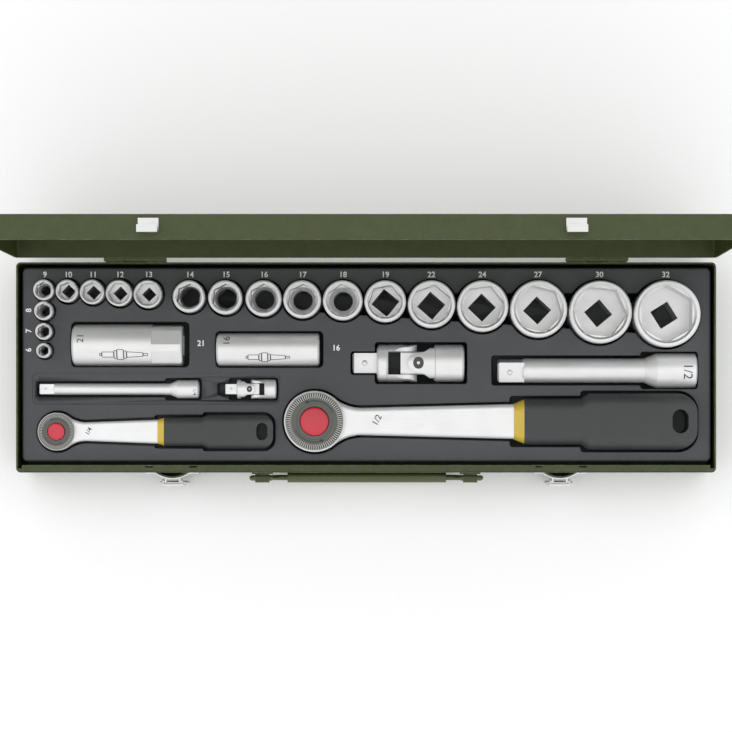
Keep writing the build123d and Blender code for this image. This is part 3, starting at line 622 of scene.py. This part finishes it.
class Surface(Enum):
    """The finishes of the set, each with its slot in the record."""

    # the case's olive paint, darkened below the handle's copy of the same paint to stand in for the shade on
    # the case walls: partly the paint's own colour, partly painted shade
    OLIVE = ("olive_paint", EnamelFinish("olive_enamel_with_shade", (0.040, 0.055, 0.011), 0.40, coat=0.06,
                                         coat_rough=0.3, specular=0.3))
    # the same olive paint on the handle's wire and grip, kept lighter than the case's darkened copy
    OLIVE_WIRE = ("olive_paint", EnamelFinish("olive_wire_enamel", (0.058, 0.078, 0.014), 0.30, coat=0.2,
                                              wear=0.35))
    TRAY = ("tray_plastic", MouldedFinish("tray_plastic_sheet", (0.052, 0.056, 0.060), 0.44, grain=1500.0,
                                          depth=0.000012, cloud=0.06, dust=0.4))
    CHROME = ("tool_chrome", MetalFinish("satin_chrome", (0.84, 0.84, 0.84), 0.40, metal=0.42))
    CHROME_UPRIGHT = ("tool_chrome", MetalFinish("satin_chrome_turned", (0.78, 0.78, 0.78), 0.36, metal=0.72,
                                                 stretch=(1.0, 1.0, 0.03)))
    PLATE = ("bright_plate", MetalFinish("bright_plate", (0.58, 0.58, 0.57), 0.20, metal=1.0, marks=0.16))
    PIN = ("pin_steel", MetalFinish("pin_steel", (0.075, 0.075, 0.075), 0.36, metal=0.8, marks=0.2,
                                    tint=(0.2, 0.2, 0.2)))
    DIAL_BAND = ("dial_coating", MetalFinish("dial_band_coating", (0.42, 0.42, 0.40), 0.34, metal=0.75,
                                             lines=2200.0, stretch=EVEN, tint=(0.2, 0.2, 0.19)))
    # near-black copy of the dial coating for the bottoms of the knurl grooves: painted shade between the ribs
    DIAL_GROOVE = ("dial_coating", MouldedFinish("dial_groove_shade", (0.006, 0.006, 0.006), 0.8, dust=0.05,
                                                 specular=0.1))
    DIAL = ("dial_coating", MetalFinish("dial_coating", (0.115, 0.115, 0.105), 0.42, metal=0.45, lines=2200.0,
                                        stretch=EVEN, tint=(0.2, 0.21, 0.19)))
    GRIP = ("grip_plastic", MouldedFinish("grip_plastic", (0.040, 0.043, 0.044), 0.46, grain=2600.0,
                                          depth=0.00003, dust=0.3))
    COLLAR = ("collar_plastic", MouldedFinish("collar_plastic", (0.66, 0.47, 0.055), 0.34, grain=1800.0,
                                              depth=0.00001, coat=0.2, dust_colour=(0.7, 0.6, 0.3)))
    BUTTON = ("button_plastic", MouldedFinish("button_gloss", (0.60, 0.012, 0.035), 0.26, grain=1200.0,
                                              depth=0.000004, coat=0.35, coat_rough=0.1, dust=0.1,
                                              marks=0.12))
    RUBBER = ("insert_rubber", MouldedFinish("insert_rubber", (0.020, 0.020, 0.020), 0.62, grain=1600.0))
    WHITE_INK = ("tray_plastic", InkFinish("white_numeral_ink", (0.90, 0.91, 0.92), 0.55,
                                           under=(0.6, 0.6, 0.6)))
    ETCH = ("tool_chrome", InkFinish("etched_mark", (0.07, 0.07, 0.07), 0.60, specular=0.2,
                                     under=(0.14, 0.14, 0.14)))
    FLOOR = ("", PaperFinish("studio_paper", (0.955, 0.955, 0.955), 0.75))

    @property
    def slot(self) -> str:
        """The record's material slot."""
        return self.value[0]

    @property
    def material(self) -> bpy.types.Material:
        """The finish's Blender material."""
        return self.value[1].material()


# ---------------------------------------------------------------- making pieces
class Workshop:
    """Turns bmeshes into pieces of the object and dresses the CAD nodes."""

    def __init__(self, frame: dict) -> None:
        """Keeps the loaded frame."""
        self.nodes: dict[str, bpy.types.Object] = frame["nodes"]

    def dress(self, surface: Surface, *names: str) -> None:
        """Gives CAD nodes a finish.

        Args:
            surface: the finish.
            *names: the nodes.
        """
        for name in names:
            for slot in self.nodes[name].material_slots:
                slot.material = surface.material
            LOG.info("dressed %s in %s", name, surface.name.lower())

    def piece(self, mesh: bmesh.types.BMesh, name: str, body: str, surface: Surface,
              replaces: Sequence[str] = (), smooth_angle: float = 40.0) -> bpy.types.Object:
        """Makes a piece from a bmesh and sets what it rides on.

        Args:
            mesh: the finished bmesh, in metres; it is freed.
            name: the piece's name.
            body: the CAD body it rides on.
            surface: its finish.
            replaces: CAD nodes that it stands for.
            smooth_angle: edges sharper than this many degrees stay sharp.

        Returns:
            The new object.
        """
        data = bpy.data.meshes.new(name)
        mesh.to_mesh(data)
        mesh.free()
        piece = bpy.data.objects.new(name, data)
        bpy.context.scene.collection.objects.link(piece)
        data.materials.append(surface.material)
        data.shade_smooth()
        data.set_sharp_from_angle(angle=math.radians(smooth_angle))
        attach(piece, body)
        if replaces:
            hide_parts(*replaces)
        LOG.info("made %s with %d faces on %s", name, len(data.polygons), body)
        return piece

    def merged_copy(self, name: str) -> bmesh.types.BMesh:
        """A CAD node's mesh with its doubles merged.

        Args:
            name: the node.

        Returns:
            A new bmesh in the frame's metres.
        """
        mesh = bmesh.new()
        mesh.from_mesh(self.nodes[name].data)
        bmesh.ops.remove_doubles(mesh, verts=mesh.verts, dist=0.002 * MM)
        return mesh


@dataclass
class Lettering:
    """Flat lettering as a thin closed mesh.

    Args:
        text: digits, with a stroke in a fraction.
        height: size of the font in millimetres.
        place: centre of the text in millimetres.
        turn: how far it is turned about Z, in degrees.
        thick: half its thickness in millimetres.
        swell: how much bolder its strokes are, in millimetres.
    """

    text: str
    height: float
    place: Place
    turn: float = 0.0
    thick: float = 0.05
    swell: float = 0.0

    def mesh(self) -> bmesh.types.BMesh:
        """The lettering as a bmesh, in metres, in its place."""
        curve = bpy.data.curves.new("lettering", "FONT")
        curve.body = self.text
        curve.size = self.height * MM
        curve.extrude = self.thick * MM
        curve.offset = self.swell * MM
        curve.resolution_u = 4
        curve.align_x = "CENTER"
        curve.align_y = "CENTER"
        holder = bpy.data.objects.new("lettering", curve)
        bpy.context.scene.collection.objects.link(holder)
        bpy.context.view_layer.update()
        data = bpy.data.meshes.new_from_object(holder.evaluated_get(bpy.context.evaluated_depsgraph_get()))
        bpy.data.objects.remove(holder)
        made = bmesh.new()
        made.from_mesh(data)
        bmesh.ops.remove_doubles(made, verts=made.verts, dist=0.001 * MM)
        where = Matrix.Translation(Vector(self.place) * MM) @ Matrix.Rotation(math.radians(self.turn), 4, "Z")
        bmesh.ops.transform(made, matrix=where, verts=made.verts)
        return made


def join(parts: Sequence[bmesh.types.BMesh]) -> bmesh.types.BMesh:
    """Puts several bmeshes into one and frees them.

    Args:
        parts: the bmeshes.

    Returns:
        One bmesh with them all.
    """
    whole = bmesh.new()
    for part in parts:
        data = bpy.data.meshes.new("joined")
        part.to_mesh(data)
        part.free()
        whole.from_mesh(data)
        bpy.data.meshes.remove(data)
    return whole


def wrap_on_barrel(mesh: bmesh.types.BMesh, axis_y: float, axis_z: float, radius: float) -> None:
    """Lays a flat mesh on a barrel that lies along X.

    Args:
        mesh: flat mesh whose Z is measured from the barrel's surface, in metres.
        axis_y: the barrel's axis in Y, in millimetres.
        axis_z: the barrel's axis in Z, in millimetres.
        radius: the barrel's radius in millimetres.
    """
    low = min(v.co.y for v in mesh.verts)
    high = max(v.co.y for v in mesh.verts)
    for i in range(1, int((high - low) / WRAP_STEP) + 1):
        everything = mesh.verts[:] + mesh.edges[:] + mesh.faces[:]
        bmesh.ops.bisect_plane(mesh, geom=everything, dist=1e-8, plane_co=(0, low + i * WRAP_STEP, 0),
                               plane_no=(0, 1, 0))
    for vert in mesh.verts:
        off = vert.co.y - axis_y * MM
        rise = math.sqrt(max((radius * MM) ** 2 - off ** 2, 0.0))
        vert.co.z = axis_z * MM + rise + vert.co.z


def turned(profile: Sequence[tuple[float, float]], centre: tuple[float, float],
           steps: int = 96) -> bmesh.types.BMesh:
    """Spins a profile about an upright axis.

    Args:
        profile: radius and height pairs in millimetres, from the bottom of the axis to its top.
        centre: the axis in X and Y, in millimetres.
        steps: divisions of the full turn.

    Returns:
        A closed bmesh in metres.
    """
    mesh = bmesh.new()
    verts = [mesh.verts.new((r * MM, 0.0, z * MM)) for r, z in profile]
    edges = [mesh.edges.new(pair) for pair in zip(verts, verts[1:])]
    bmesh.ops.spin(mesh, geom=verts + edges, cent=(0, 0, 0), axis=(0, 0, 1), angle=math.tau, steps=steps,
                   use_merge=True)
    bmesh.ops.remove_doubles(mesh, verts=mesh.verts, dist=0.0005 * MM)
    bmesh.ops.recalc_face_normals(mesh, faces=mesh.faces)
    bmesh.ops.translate(mesh, verts=mesh.verts, vec=(centre[0] * MM, centre[1] * MM, 0))
    return mesh


# ---------------------------------------------------------------- the case
@dataclass
class CaseShell:
    """Folded steel base and lid with hinges, latches and the carrying handle."""

    olive: Sequence[str] = ("case_base", "case_lid", "hinge_base_leaves", "hinge_lid_leaves",
                            "handle_brackets")
    wire: Sequence[str] = ("handle_bail", "handle_grip")
    plated: Sequence[str] = ("latch_plates", "latch_keepers", "latch_lever_left", "latch_lever_right",
                             "latch_bail_left", "latch_bail_right")

    def build(self, shop: Workshop) -> None:
        """Dresses the case's nodes.

        Args:
            shop: the workshop that holds the frame.
        """
        # the case's copy of the olive paint is darkened: painted shade on the walls and rims
        shop.dress(Surface.OLIVE, *self.olive)
        shop.dress(Surface.OLIVE_WIRE, *self.wire)
        shop.dress(Surface.PLATE, *self.plated)
        shop.dress(Surface.PIN, "hinge_pins")


# ---------------------------------------------------------------- the tray
@dataclass
class TrayInsert:
    """Moulded tray with softened pocket rims and printed sizes.

    Args:
        top: height of the tray's upper face.
        rim: radius of its softened rims.
        row_y: line of the sizes behind the row of sockets.
        column_x: line of the sizes beside the left-hand column.
        print_height: font size of the sizes.
        bold: how much bolder their strokes are.
        print_gap: how far the middle of the print lies above the tray.
        column_shift: how far the column's sizes stand behind the middles of their sockets.
        row: the sizes printed behind the row of sockets.
        column: the sizes printed beside the column.
        lying: the sizes printed beside the lying tools, each with its place in X and Y.
    """

    top: float = 38.0
    rim: float = 0.55
    row_y: float = 59.3
    column_x: float = -215.5
    print_height: float = 5.0
    bold: float = 0.11
    print_gap: float = 0.03
    column_shift: float = 0.6
    row: Sequence[int] = (9, 10, 11, 12, 13, 14, 15, 16, 17, 18, 19, 22, 24, 27, 30, 32)
    column: Sequence[int] = (8, 7, 6)
    lying: Sequence[tuple[str, float, float]] = (("21", -105.4, 15.4), ("16", -19.2, 12.5))

    def softened(self, shop: Workshop) -> bmesh.types.BMesh:
        """The tray's mesh with its upper rims rounded, as sheet drawn into a mould leaves them.

        Args:
            shop: the workshop that holds the frame.

        Returns:
            The rounded mesh.
        """
        mesh = shop.merged_copy("tray_insert")
        rims = [edge for edge in mesh.edges if self.is_rim(edge)]
        bmesh.ops.bevel(mesh, geom=rims, offset=self.rim * MM, offset_type="OFFSET", segments=3, profile=0.5,
                        affect="EDGES", clamp_overlap=False, material=-1)
        return mesh

    def is_rim(self, edge: bmesh.types.BMEdge) -> bool:
        """Whether an edge is a sharp outer corner in the tray's upper face."""
        if len(edge.link_faces) != 2 or any(abs(v.co.z - self.top * MM) > 0.05 * MM for v in edge.verts):
            return False
        return edge.is_convex and edge.calc_face_angle() > math.radians(50)

    def numerals(self) -> bmesh.types.BMesh:
        """All the printed sizes as one mesh."""
        high = self.top + self.print_gap
        printed = []
        for size in self.row:
            low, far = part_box(f"socket_{size:02d}")
            place = ((low[0] + far[0]) / 2 / MM, self.row_y, high)
            printed.append(Lettering(str(size), self.print_height, place, swell=self.bold))
        for size in self.column:
            low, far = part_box(f"socket_{size:02d}")
            place = (self.column_x, (low[1] + far[1]) / 2 / MM + self.column_shift, high)
            printed.append(Lettering(str(size), self.print_height, place, turn=90, swell=self.bold))
        for text, x, y in self.lying:
            printed.append(Lettering(text, self.print_height, (x, y, high), swell=self.bold))
        return join([lettering.mesh() for lettering in printed])

    def build(self, shop: Workshop) -> None:
        """Makes the softened tray and its numerals.

        Args:
            shop: the workshop that holds the frame.
        """
        tray = shop.piece(self.softened(shop), "tray_insert_softened", "case", Surface.TRAY, ["tray_insert"])
        evened = tray.modifiers.new("even_normals", "WEIGHTED_NORMAL")
        evened.keep_sharp = True
        shop.piece(self.numerals(), "tray_numerals", "case", Surface.WHITE_INK)


# ---------------------------------------------------------------- the tools
@dataclass
class UprightSockets:
    """The sockets that stand in the tray."""

    sizes: Sequence[int] = (6, 7, 8, 9, 10, 11, 12, 13, 14, 15, 16, 17, 18, 19, 22, 24, 27, 30, 32)

    def build(self, shop: Workshop) -> None:
        """Dresses the sockets.

        Args:
            shop: the workshop that holds the frame.
        """
        shop.dress(Surface.CHROME_UPRIGHT, *[f"socket_{size:02d}" for size in self.sizes])


@dataclass
class SparkSocket:
    """Long socket with an etched size and a plug drawn in outline.

    Args:
        size: its size across flats.
        mark: centre of the size in X and Y.
        mark_height: font size of the mark.
        drawing: centre of the outline in X and Y.
        drawing_length: length of the outline.
        mark_height: font size of the mark.
        line: width of the outline's lines.
        line_thick: thickness of the outline's lines.
    """

    size: int
    mark: tuple[float, float]
    drawing: tuple[float, float]
    drawing_length: float
    mark_height: float = 6.0
    line: float = 0.36
    line_thick: float = 0.1

    # each length of the plug: where it starts and ends, and its half width there, as shares of the whole
    PARTS = ((0.00, 0.05, 0.030, 0.030), (0.05, 0.30, 0.058, 0.058), (0.30, 0.36, 0.085, 0.085),
             (0.36, 0.50, 0.105, 0.105), (0.50, 0.56, 0.080, 0.080), (0.56, 0.90, 0.062, 0.042),
             (0.90, 1.00, 0.026, 0.026))

    def outline(self) -> bmesh.types.BMesh:
        """The plug in outline, flat, centred on its drawing place."""
        parts = []
        for start, end, half_start, half_end in self.PARTS:
            part = bmesh.new()
            outer = ((start, -half_start), (end, -half_end), (end, half_end), (start, half_start))
            length = self.drawing_length * MM
            verts = [part.verts.new(((along - 0.5) * length, across * length, 0)) for along, across in outer]
            face = part.faces.new(verts)
            part.normal_update()
            bmesh.ops.inset_region(part, faces=[face], thickness=self.line * MM, use_boundary=True,
                                   use_even_offset=True)
            bmesh.ops.delete(part, geom=[face], context="FACES_ONLY")
            part.normal_update()
            bmesh.ops.solidify(part, geom=part.faces[:], thickness=self.line_thick * MM)
            bmesh.ops.recalc_face_normals(part, faces=part.faces)
            parts.append(part)
        whole = join(parts)
        place = Vector((*self.drawing, ETCH_LIFT * 2)) * MM
        bmesh.ops.translate(whole, verts=whole.verts, vec=place)
        return whole

    def build(self, shop: Workshop) -> None:
        """Dresses the socket and its rubber, and makes its marks.

        Args:
            shop: the workshop that holds the frame.
        """
        node = f"spark_socket_{self.size}"
        shop.dress(Surface.CHROME, node)
        shop.dress(Surface.RUBBER, f"spark_insert_{self.size}")
        low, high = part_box(node)
        axis_y, axis_z = (low[1] + high[1]) / 2 / MM, (low[2] + high[2]) / 2 / MM
        radius = (high[2] - low[2]) / 2 / MM
        size_mark = Lettering(str(self.size), self.mark_height, (*self.mark, ETCH_LIFT), turn=90)
        marks = join([size_mark.mesh(), self.outline()])
        wrap_on_barrel(marks, axis_y, axis_z, radius)
        shop.piece(marks, f"spark_marks_{self.size}", f"spark_{self.size}", Surface.ETCH)


@dataclass
class Extension:
    """Extension bar with its drive size etched on the socket end.

    Args:
        name: half or quarter.
        text: the drive size.
        mark: centre of the mark in X and Y.
        mark_height: font size of the mark.
    """

    name: str
    text: str
    mark: tuple[float, float]
    mark_height: float

    def build(self, shop: Workshop) -> None:
        """Dresses the bar and makes its mark.

        Args:
            shop: the workshop that holds the frame.
        """
        node = f"extension_{self.name}"
        shop.dress(Surface.CHROME, node)
        low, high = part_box(node)
        axis_y, axis_z = (low[1] + high[1]) / 2 / MM, (low[2] + high[2]) / 2 / MM
        mark = Lettering(self.text, self.mark_height, (*self.mark, ETCH_LIFT), turn=-90).mesh()
        wrap_on_barrel(mark, axis_y, axis_z, (high[2] - low[2]) / 2 / MM)
        shop.piece(mark, f"extension_mark_{self.name}", node, Surface.ETCH)


@dataclass
class UniversalJoint:
    """Universal joint with riveted, dimpled pin heads.

    Args:
        name: half or quarter.
        radius: radius of its barrels.
        upright_pin: X of the pin that stands upright.
        level_pin: X of the pin that lies across.
    """

    name: str
    radius: float
    upright_pin: float
    level_pin: float

    HEAD, SEAT = 0.315, 0.93     # a head's radius and its seat's height, as shares of the barrel's radius

    def head(self) -> bmesh.types.BMesh:
        """One pin head about the upright axis, its seat at the pin's end."""
        r = self.radius * self.HEAD
        seat = self.radius * self.SEAT
        top = self.radius
        return turned([(0, seat), (r, seat), (r, top - r * 0.12), (r * 0.9, top), (r * 0.3, top),
                       (r * 0.22, top - r * 0.22), (0, top - r * 0.26)], (0, 0), 40)

    def build(self, shop: Workshop) -> None:
        """Dresses the joint's parts and makes its pin heads.

        Args:
            shop: the workshop that holds the frame.
        """
        node = f"ujoint_{self.name}"
        shop.dress(Surface.CHROME, f"{node}_driver", f"{node}_socket", f"{node}_cross")
        low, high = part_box(f"{node}_cross")
        y, z = (low[1] + high[1]) / 2, (low[2] + high[2]) / 2
        heads = []
        for x, turns in ((self.upright_pin, (0, 180)), (self.level_pin, (90, -90))):
            for turn in turns:
                head = self.head()
                place = Matrix.Translation((x * MM, y, z)) @ Matrix.Rotation(math.radians(turn), 4, "X")
                bmesh.ops.transform(head, matrix=place, verts=head.verts)
                heads.append(head)
        shop.piece(join(heads), f"{node}_pin_heads", f"{node}_cross", Surface.PIN)


@dataclass
class Ratchet:
    """Ratchet with a knurled reversing dial, a domed button and a moulded grip.

    Args:
        name: half or quarter.
        text: the drive size etched on the shank.
        ring: outer radius of the head.
        ribs: ribs round the dial.
        mark: place of the size, in X, Y and Z.
        mark_height: font size of the mark.
        centre: the head's axis in X and Y, read from the frame when it is built.
    """

    name: str
    text: str
    ring: float
    ribs: int
    mark: Place
    mark_height: float
    centre: tuple[float, float] = (0.0, 0.0)

    # shares of the head's radius: the dial's own sizes, its arrows, and the button's seat and stem
    DIAL_SEAT, DIAL_BORE, DIAL_STEP, DIAL_BAND, DIAL_LAND, DIAL_LIP = 0.125, 0.475, 0.012, 0.755, 0.60, 0.59
    EDGE_DROP, EDGE_INSET, RIB_ZONE, RIB_DEPTH = 0.025, 0.02, 0.03, 0.07
    ARROW_RADIUS, ARROW_HALF, ARROW_TIP = 0.675, 0.022, 0.08
    BUTTON_SEAT, BUTTON_STEM = 0.19, 0.13
    # the arrows: where each starts and how far it runs, in radians, and half its thickness in millimetres
    ARROW_STARTS, ARROW_RUN, ARROW_RISE = (0.45, 0.45 + math.pi), 1.5, 0.02
    MARK_TURN, MARK_SWELL = 62.0, 0.05

    def dial(self, shop: Workshop) -> None:
        """Makes the dial: ribbed outer band, plain ring with two turning arrows, bored for the button.

        Args:
            shop: the workshop that holds the frame.
        """
        node = f"ratchet_{self.name}_dial"
        low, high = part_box(node)
        outer = (high[1] - low[1]) / 2 / MM
        top = high[2] / MM
        seat = top - self.ring * self.DIAL_SEAT
        bore = self.ring * self.DIAL_BORE
        step, band = self.ring * self.DIAL_STEP, self.ring * self.DIAL_BAND
        profile = [(bore, seat), (outer, seat), (outer, top - self.ring * self.EDGE_DROP),
                   (outer - self.ring * self.EDGE_INSET, top), (band, top), (band - step, top - step),
                   (self.ring * self.DIAL_LAND, top - step), (self.ring * self.DIAL_LIP, top - step * 2),
                   (bore + step, top - step * 2), (bore, top - step * 3), (bore, seat)]
        mesh = turned(profile, self.centre, steps=self.ribs * 2)
        self.cut_ribs(mesh, band, top)
        knurled = shop.piece(mesh, f"{node}_knurled", node, Surface.DIAL, [node], smooth_angle=25.0)
        knurled.data.materials.append(Surface.DIAL_BAND.material)
        # the third slot is the near-black groove material, painted shade in the knurl grooves
        knurled.data.materials.append(Surface.DIAL_GROOVE.material)
        shop.piece(self.arrows(top - step), f"{node}_arrows", node, Surface.ETCH)

    def cut_ribs(self, mesh: bmesh.types.BMesh, band: float, top: float) -> None:
        """Sinks every second face of the dial's outer band.

        Args:
            mesh: the dial's mesh.
            band: inner radius of the ribbed band.
            top: height of its upper face.
        """
        middle = Vector((self.centre[0] * MM, self.centre[1] * MM))
        pitch = math.tau / (2 * self.ribs)
        sunk = []
        for face in mesh.faces:
            spot = face.calc_center_median()
            away = Vector((spot.x, spot.y)) - middle
            if away.length < band * MM or spot.z < (top - self.ring * self.RIB_ZONE) * MM:
                continue
            face.material_index = 1
            if face.normal.z > 0.9 and round(math.atan2(away.y, away.x) / pitch - 0.5) % 2 == 0:
                sunk.append(face)
        ribs = bmesh.ops.extrude_discrete_faces(mesh, faces=sunk)["faces"]
        # the sunk faces take the near-black groove material: painted shade in the grooves
        for face in ribs:
            face.material_index = 2
        verts = list({vert for face in ribs for vert in face.verts})
        bmesh.ops.translate(mesh, verts=verts, vec=(0, 0, -self.ring * self.RIB_DEPTH * MM))

    def arrows(self, level: float) -> bmesh.types.BMesh:
        """Two etched arcs with heads, one for each way of turning.

        Args:
            level: height of the ring they lie on.

        Returns:
            The arrows' mesh.
        """
        parts = []
        radius, half, rise = self.ring * self.ARROW_RADIUS, self.ring * self.ARROW_HALF, self.ARROW_RISE
        for start in self.ARROW_STARTS:
            arc = bmesh.new()
            section = [(radius - half, level - rise), (radius + half, level - rise),
                       (radius + half, level + rise), (radius - half, level + rise)]
            verts = [arc.verts.new((r * MM, 0, z * MM)) for r, z in section]
            edges = [arc.edges.new((verts[i], verts[(i + 1) % 4])) for i in range(4)]
            bmesh.ops.spin(arc, geom=verts + edges, cent=(0, 0, 0), axis=(0, 0, 1), angle=self.ARROW_RUN,
                           steps=24)
            bmesh.ops.holes_fill(arc, edges=arc.edges, sides=4)
            bmesh.ops.recalc_face_normals(arc, faces=arc.faces)
            tip = bmesh.new()
            bmesh.ops.create_circle(tip, cap_ends=True, radius=self.ring * self.ARROW_TIP * MM, segments=3)
            bmesh.ops.solidify(tip, geom=tip.faces[:], thickness=rise * 2 * MM)
            end = Matrix.Translation((radius * MM, 0, (level + rise) * MM))
            at = Matrix.Rotation(self.ARROW_RUN, 4, "Z") @ end
            bmesh.ops.transform(tip, matrix=at, verts=tip.verts)
            bmesh.ops.recalc_face_normals(tip, faces=tip.faces)
            arrow = join([arc, tip])
            middle = Matrix.Translation((self.centre[0] * MM, self.centre[1] * MM, 0))
            place = middle @ Matrix.Rotation(start, 4, "Z")
            bmesh.ops.transform(arrow, matrix=place, verts=arrow.verts)
            parts.append(arrow)
        return join(parts)

    def button(self, shop: Workshop) -> None:
        """Makes the domed release button and its stem.

        Args:
            shop: the workshop that holds the frame.
        """
        node = f"ratchet_{self.name}_button"
        low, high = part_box(node)
        radius = (high[0] - low[0]) / 2 / MM
        bottom, top = low[2] / MM, high[2] / MM
        seat = top - self.ring * self.BUTTON_SEAT
        stem = self.ring * self.BUTTON_STEM
        dome = [(radius * math.sin(t), top - radius * 0.13 * (1 - math.cos(t))) for t in
                (1.25, 1.1, 0.95, 0.8, 0.65, 0.5, 0.35, 0.2, 0.1)]
        profile = [(0, bottom), (stem, bottom), (stem, seat), (radius, seat), (radius, top - radius * 0.20),
                   (radius * 0.985, top - radius * 0.14), *dome, (0, top)]
        domed = turned(profile, self.centre)
        shop.piece(domed, f"{node}_domed", node, Surface.BUTTON, [node], smooth_angle=60.0)

    def build(self, shop: Workshop) -> None:
        """Dresses the ratchet and makes its dial, button and mark.

        Args:
            shop: the workshop that holds the frame.
        """
        body = f"ratchet_{self.name}"
        low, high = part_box(f"{body}_button")
        self.centre = ((low[0] + high[0]) / 2 / MM, (low[1] + high[1]) / 2 / MM)
        shop.dress(Surface.CHROME, f"{body}_body", f"{body}_drive")
        shop.dress(Surface.PIN, f"{body}_pawl")
        shop.dress(Surface.GRIP, f"{body}_grip")
        shop.dress(Surface.COLLAR, f"{body}_collar")
        self.dial(shop)
        self.button(shop)
        mark = Lettering(self.text, self.mark_height, self.mark, self.MARK_TURN, swell=self.MARK_SWELL).mesh()
        shop.piece(mark, f"{body}_mark", body, Surface.ETCH)


# ---------------------------------------------------------------- the studio
@dataclass
class Studio:
    """Pale paper, soft lights and the camera above the case.

    Args:
        eye: the camera's place in millimetres.
        lens: its focal length for a 36 mm sensor.
        shift: how far the frame is shifted from the axis.
        sky: strength of the even light from all round.
        paper: side of the paper in millimetres.
        paper_drop: how far the paper lies below the case.
    """

    eye: Place = (22.9, -47.5, 1536.9)
    lens: float = 115.4
    shift: tuple[float, float] = (-0.0492, 0.1038)
    sky: float = 1.0
    paper: float = 3000.0
    paper_drop: float = 0.2

    # each soft light: name, place in metres, its two sides in metres, and how bright its face is
    SOFTBOXES = (("overhead_softbox", (0.0, 0.1, 2.2), (2.2, 1.6), 0.48),
                 ("left_softbox", (-1.5, 0.5, 1.3), (0.9, 0.9), 0.8),
                 ("front_strip", (0.5, -1.6, 1.1), (1.6, 0.3), 0.8))

    def camera(self) -> None:
        """Places the camera, looking straight down with the case's back at the top."""
        data = bpy.data.cameras.new("studio_camera")
        data.lens = self.lens
        data.sensor_width = 36.0
        data.shift_x, data.shift_y = self.shift
        data.clip_start, data.clip_end = 0.05, 20.0
        camera = bpy.data.objects.new("studio_camera", data)
        camera.location = Vector(self.eye) * MM
        bpy.context.scene.collection.objects.link(camera)
        bpy.context.scene.camera = camera

    def floor(self) -> None:
        """Lays the paper under the case."""
        mesh = bmesh.new()
        bmesh.ops.create_grid(mesh, x_segments=4, y_segments=4, size=self.paper / 2 * MM)
        bmesh.ops.translate(mesh, verts=mesh.verts, vec=(0, 0, -self.paper_drop * MM))
        data = bpy.data.meshes.new("studio_paper")
        mesh.to_mesh(data)
        mesh.free()
        data.materials.append(Surface.FLOOR.material)
        paper = bpy.data.objects.new("studio_paper", data)
        bpy.context.scene.collection.objects.link(paper)

    @staticmethod
    def softbox(name: str, place: Place, size: tuple[float, float], radiance: float) -> None:
        """Adds a rectangular soft light that looks at the origin.

        Args:
            name: the light's name.
            place: where it hangs, in metres.
            size: its two sides in metres.
            radiance: how bright its face is, for each square metre.
        """
        data = bpy.data.lights.new(name, "AREA")
        data.shape = "RECTANGLE"
        data.size, data.size_y = size
        data.energy = radiance * math.pi * size[0] * size[1]
        light = bpy.data.objects.new(name, data)
        light.location = place
        light.rotation_euler = (-Vector(place)).to_track_quat("-Z", "Y").to_euler()
        bpy.context.scene.collection.objects.link(light)

    def build(self) -> None:
        """Sets up the camera, paper, lights and sky."""
        self.camera()
        self.floor()
        for light in self.SOFTBOXES:
            self.softbox(*light)
        world = bpy.data.worlds.new("studio_sky")
        world.use_nodes = True
        back = next(node for node in world.node_tree.nodes if node.type == "BACKGROUND")
        back.inputs["Color"].default_value = (1.0, 1.0, 1.0, 1.0)
        back.inputs["Strength"].default_value = self.sky
        bpy.context.scene.world = world
        bpy.context.scene.view_settings.view_transform = "Standard"
        LOG.info("studio ready")


def main() -> None:
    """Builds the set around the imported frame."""
    logging.basicConfig(level=logging.INFO, format="%(message)s")
    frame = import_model()
    shop = Workshop(frame)
    builders = [
        CaseShell(),
        TrayInsert(),
        UprightSockets(),
        SparkSocket(21, mark=(-181.9, 18.6), drawing=(-154.5, 8.2), drawing_length=31.0),
        SparkSocket(16, mark=(-88.8, 17.0), drawing=(-62.7, 6.5), drawing_length=28.2),
        Extension("half", "1/2", mark=(205.2, -2.4), mark_height=8.2),
        Extension("quarter", "1/4", mark=(-109.6, -15.6), mark_height=3.4),
        UniversalJoint("half", radius=12.0, upright_pin=33.4, level_pin=26.0),
        UniversalJoint("quarter", radius=6.2, upright_pin=-74.5, level_pin=-70.5),
        Ratchet("half", "1/2", ring=19.4, ribs=76, mark=(7.0, -33.6, 41.5), mark_height=5.6),
        Ratchet("quarter", "1/4", ring=12.0, ribs=64, mark=(-176.9, -40.7, 40.7), mark_height=3.9),
    ]
    for builder in builders:
        builder.build(shop)
    Studio().build()


if __name__ == "__main__":
    main()
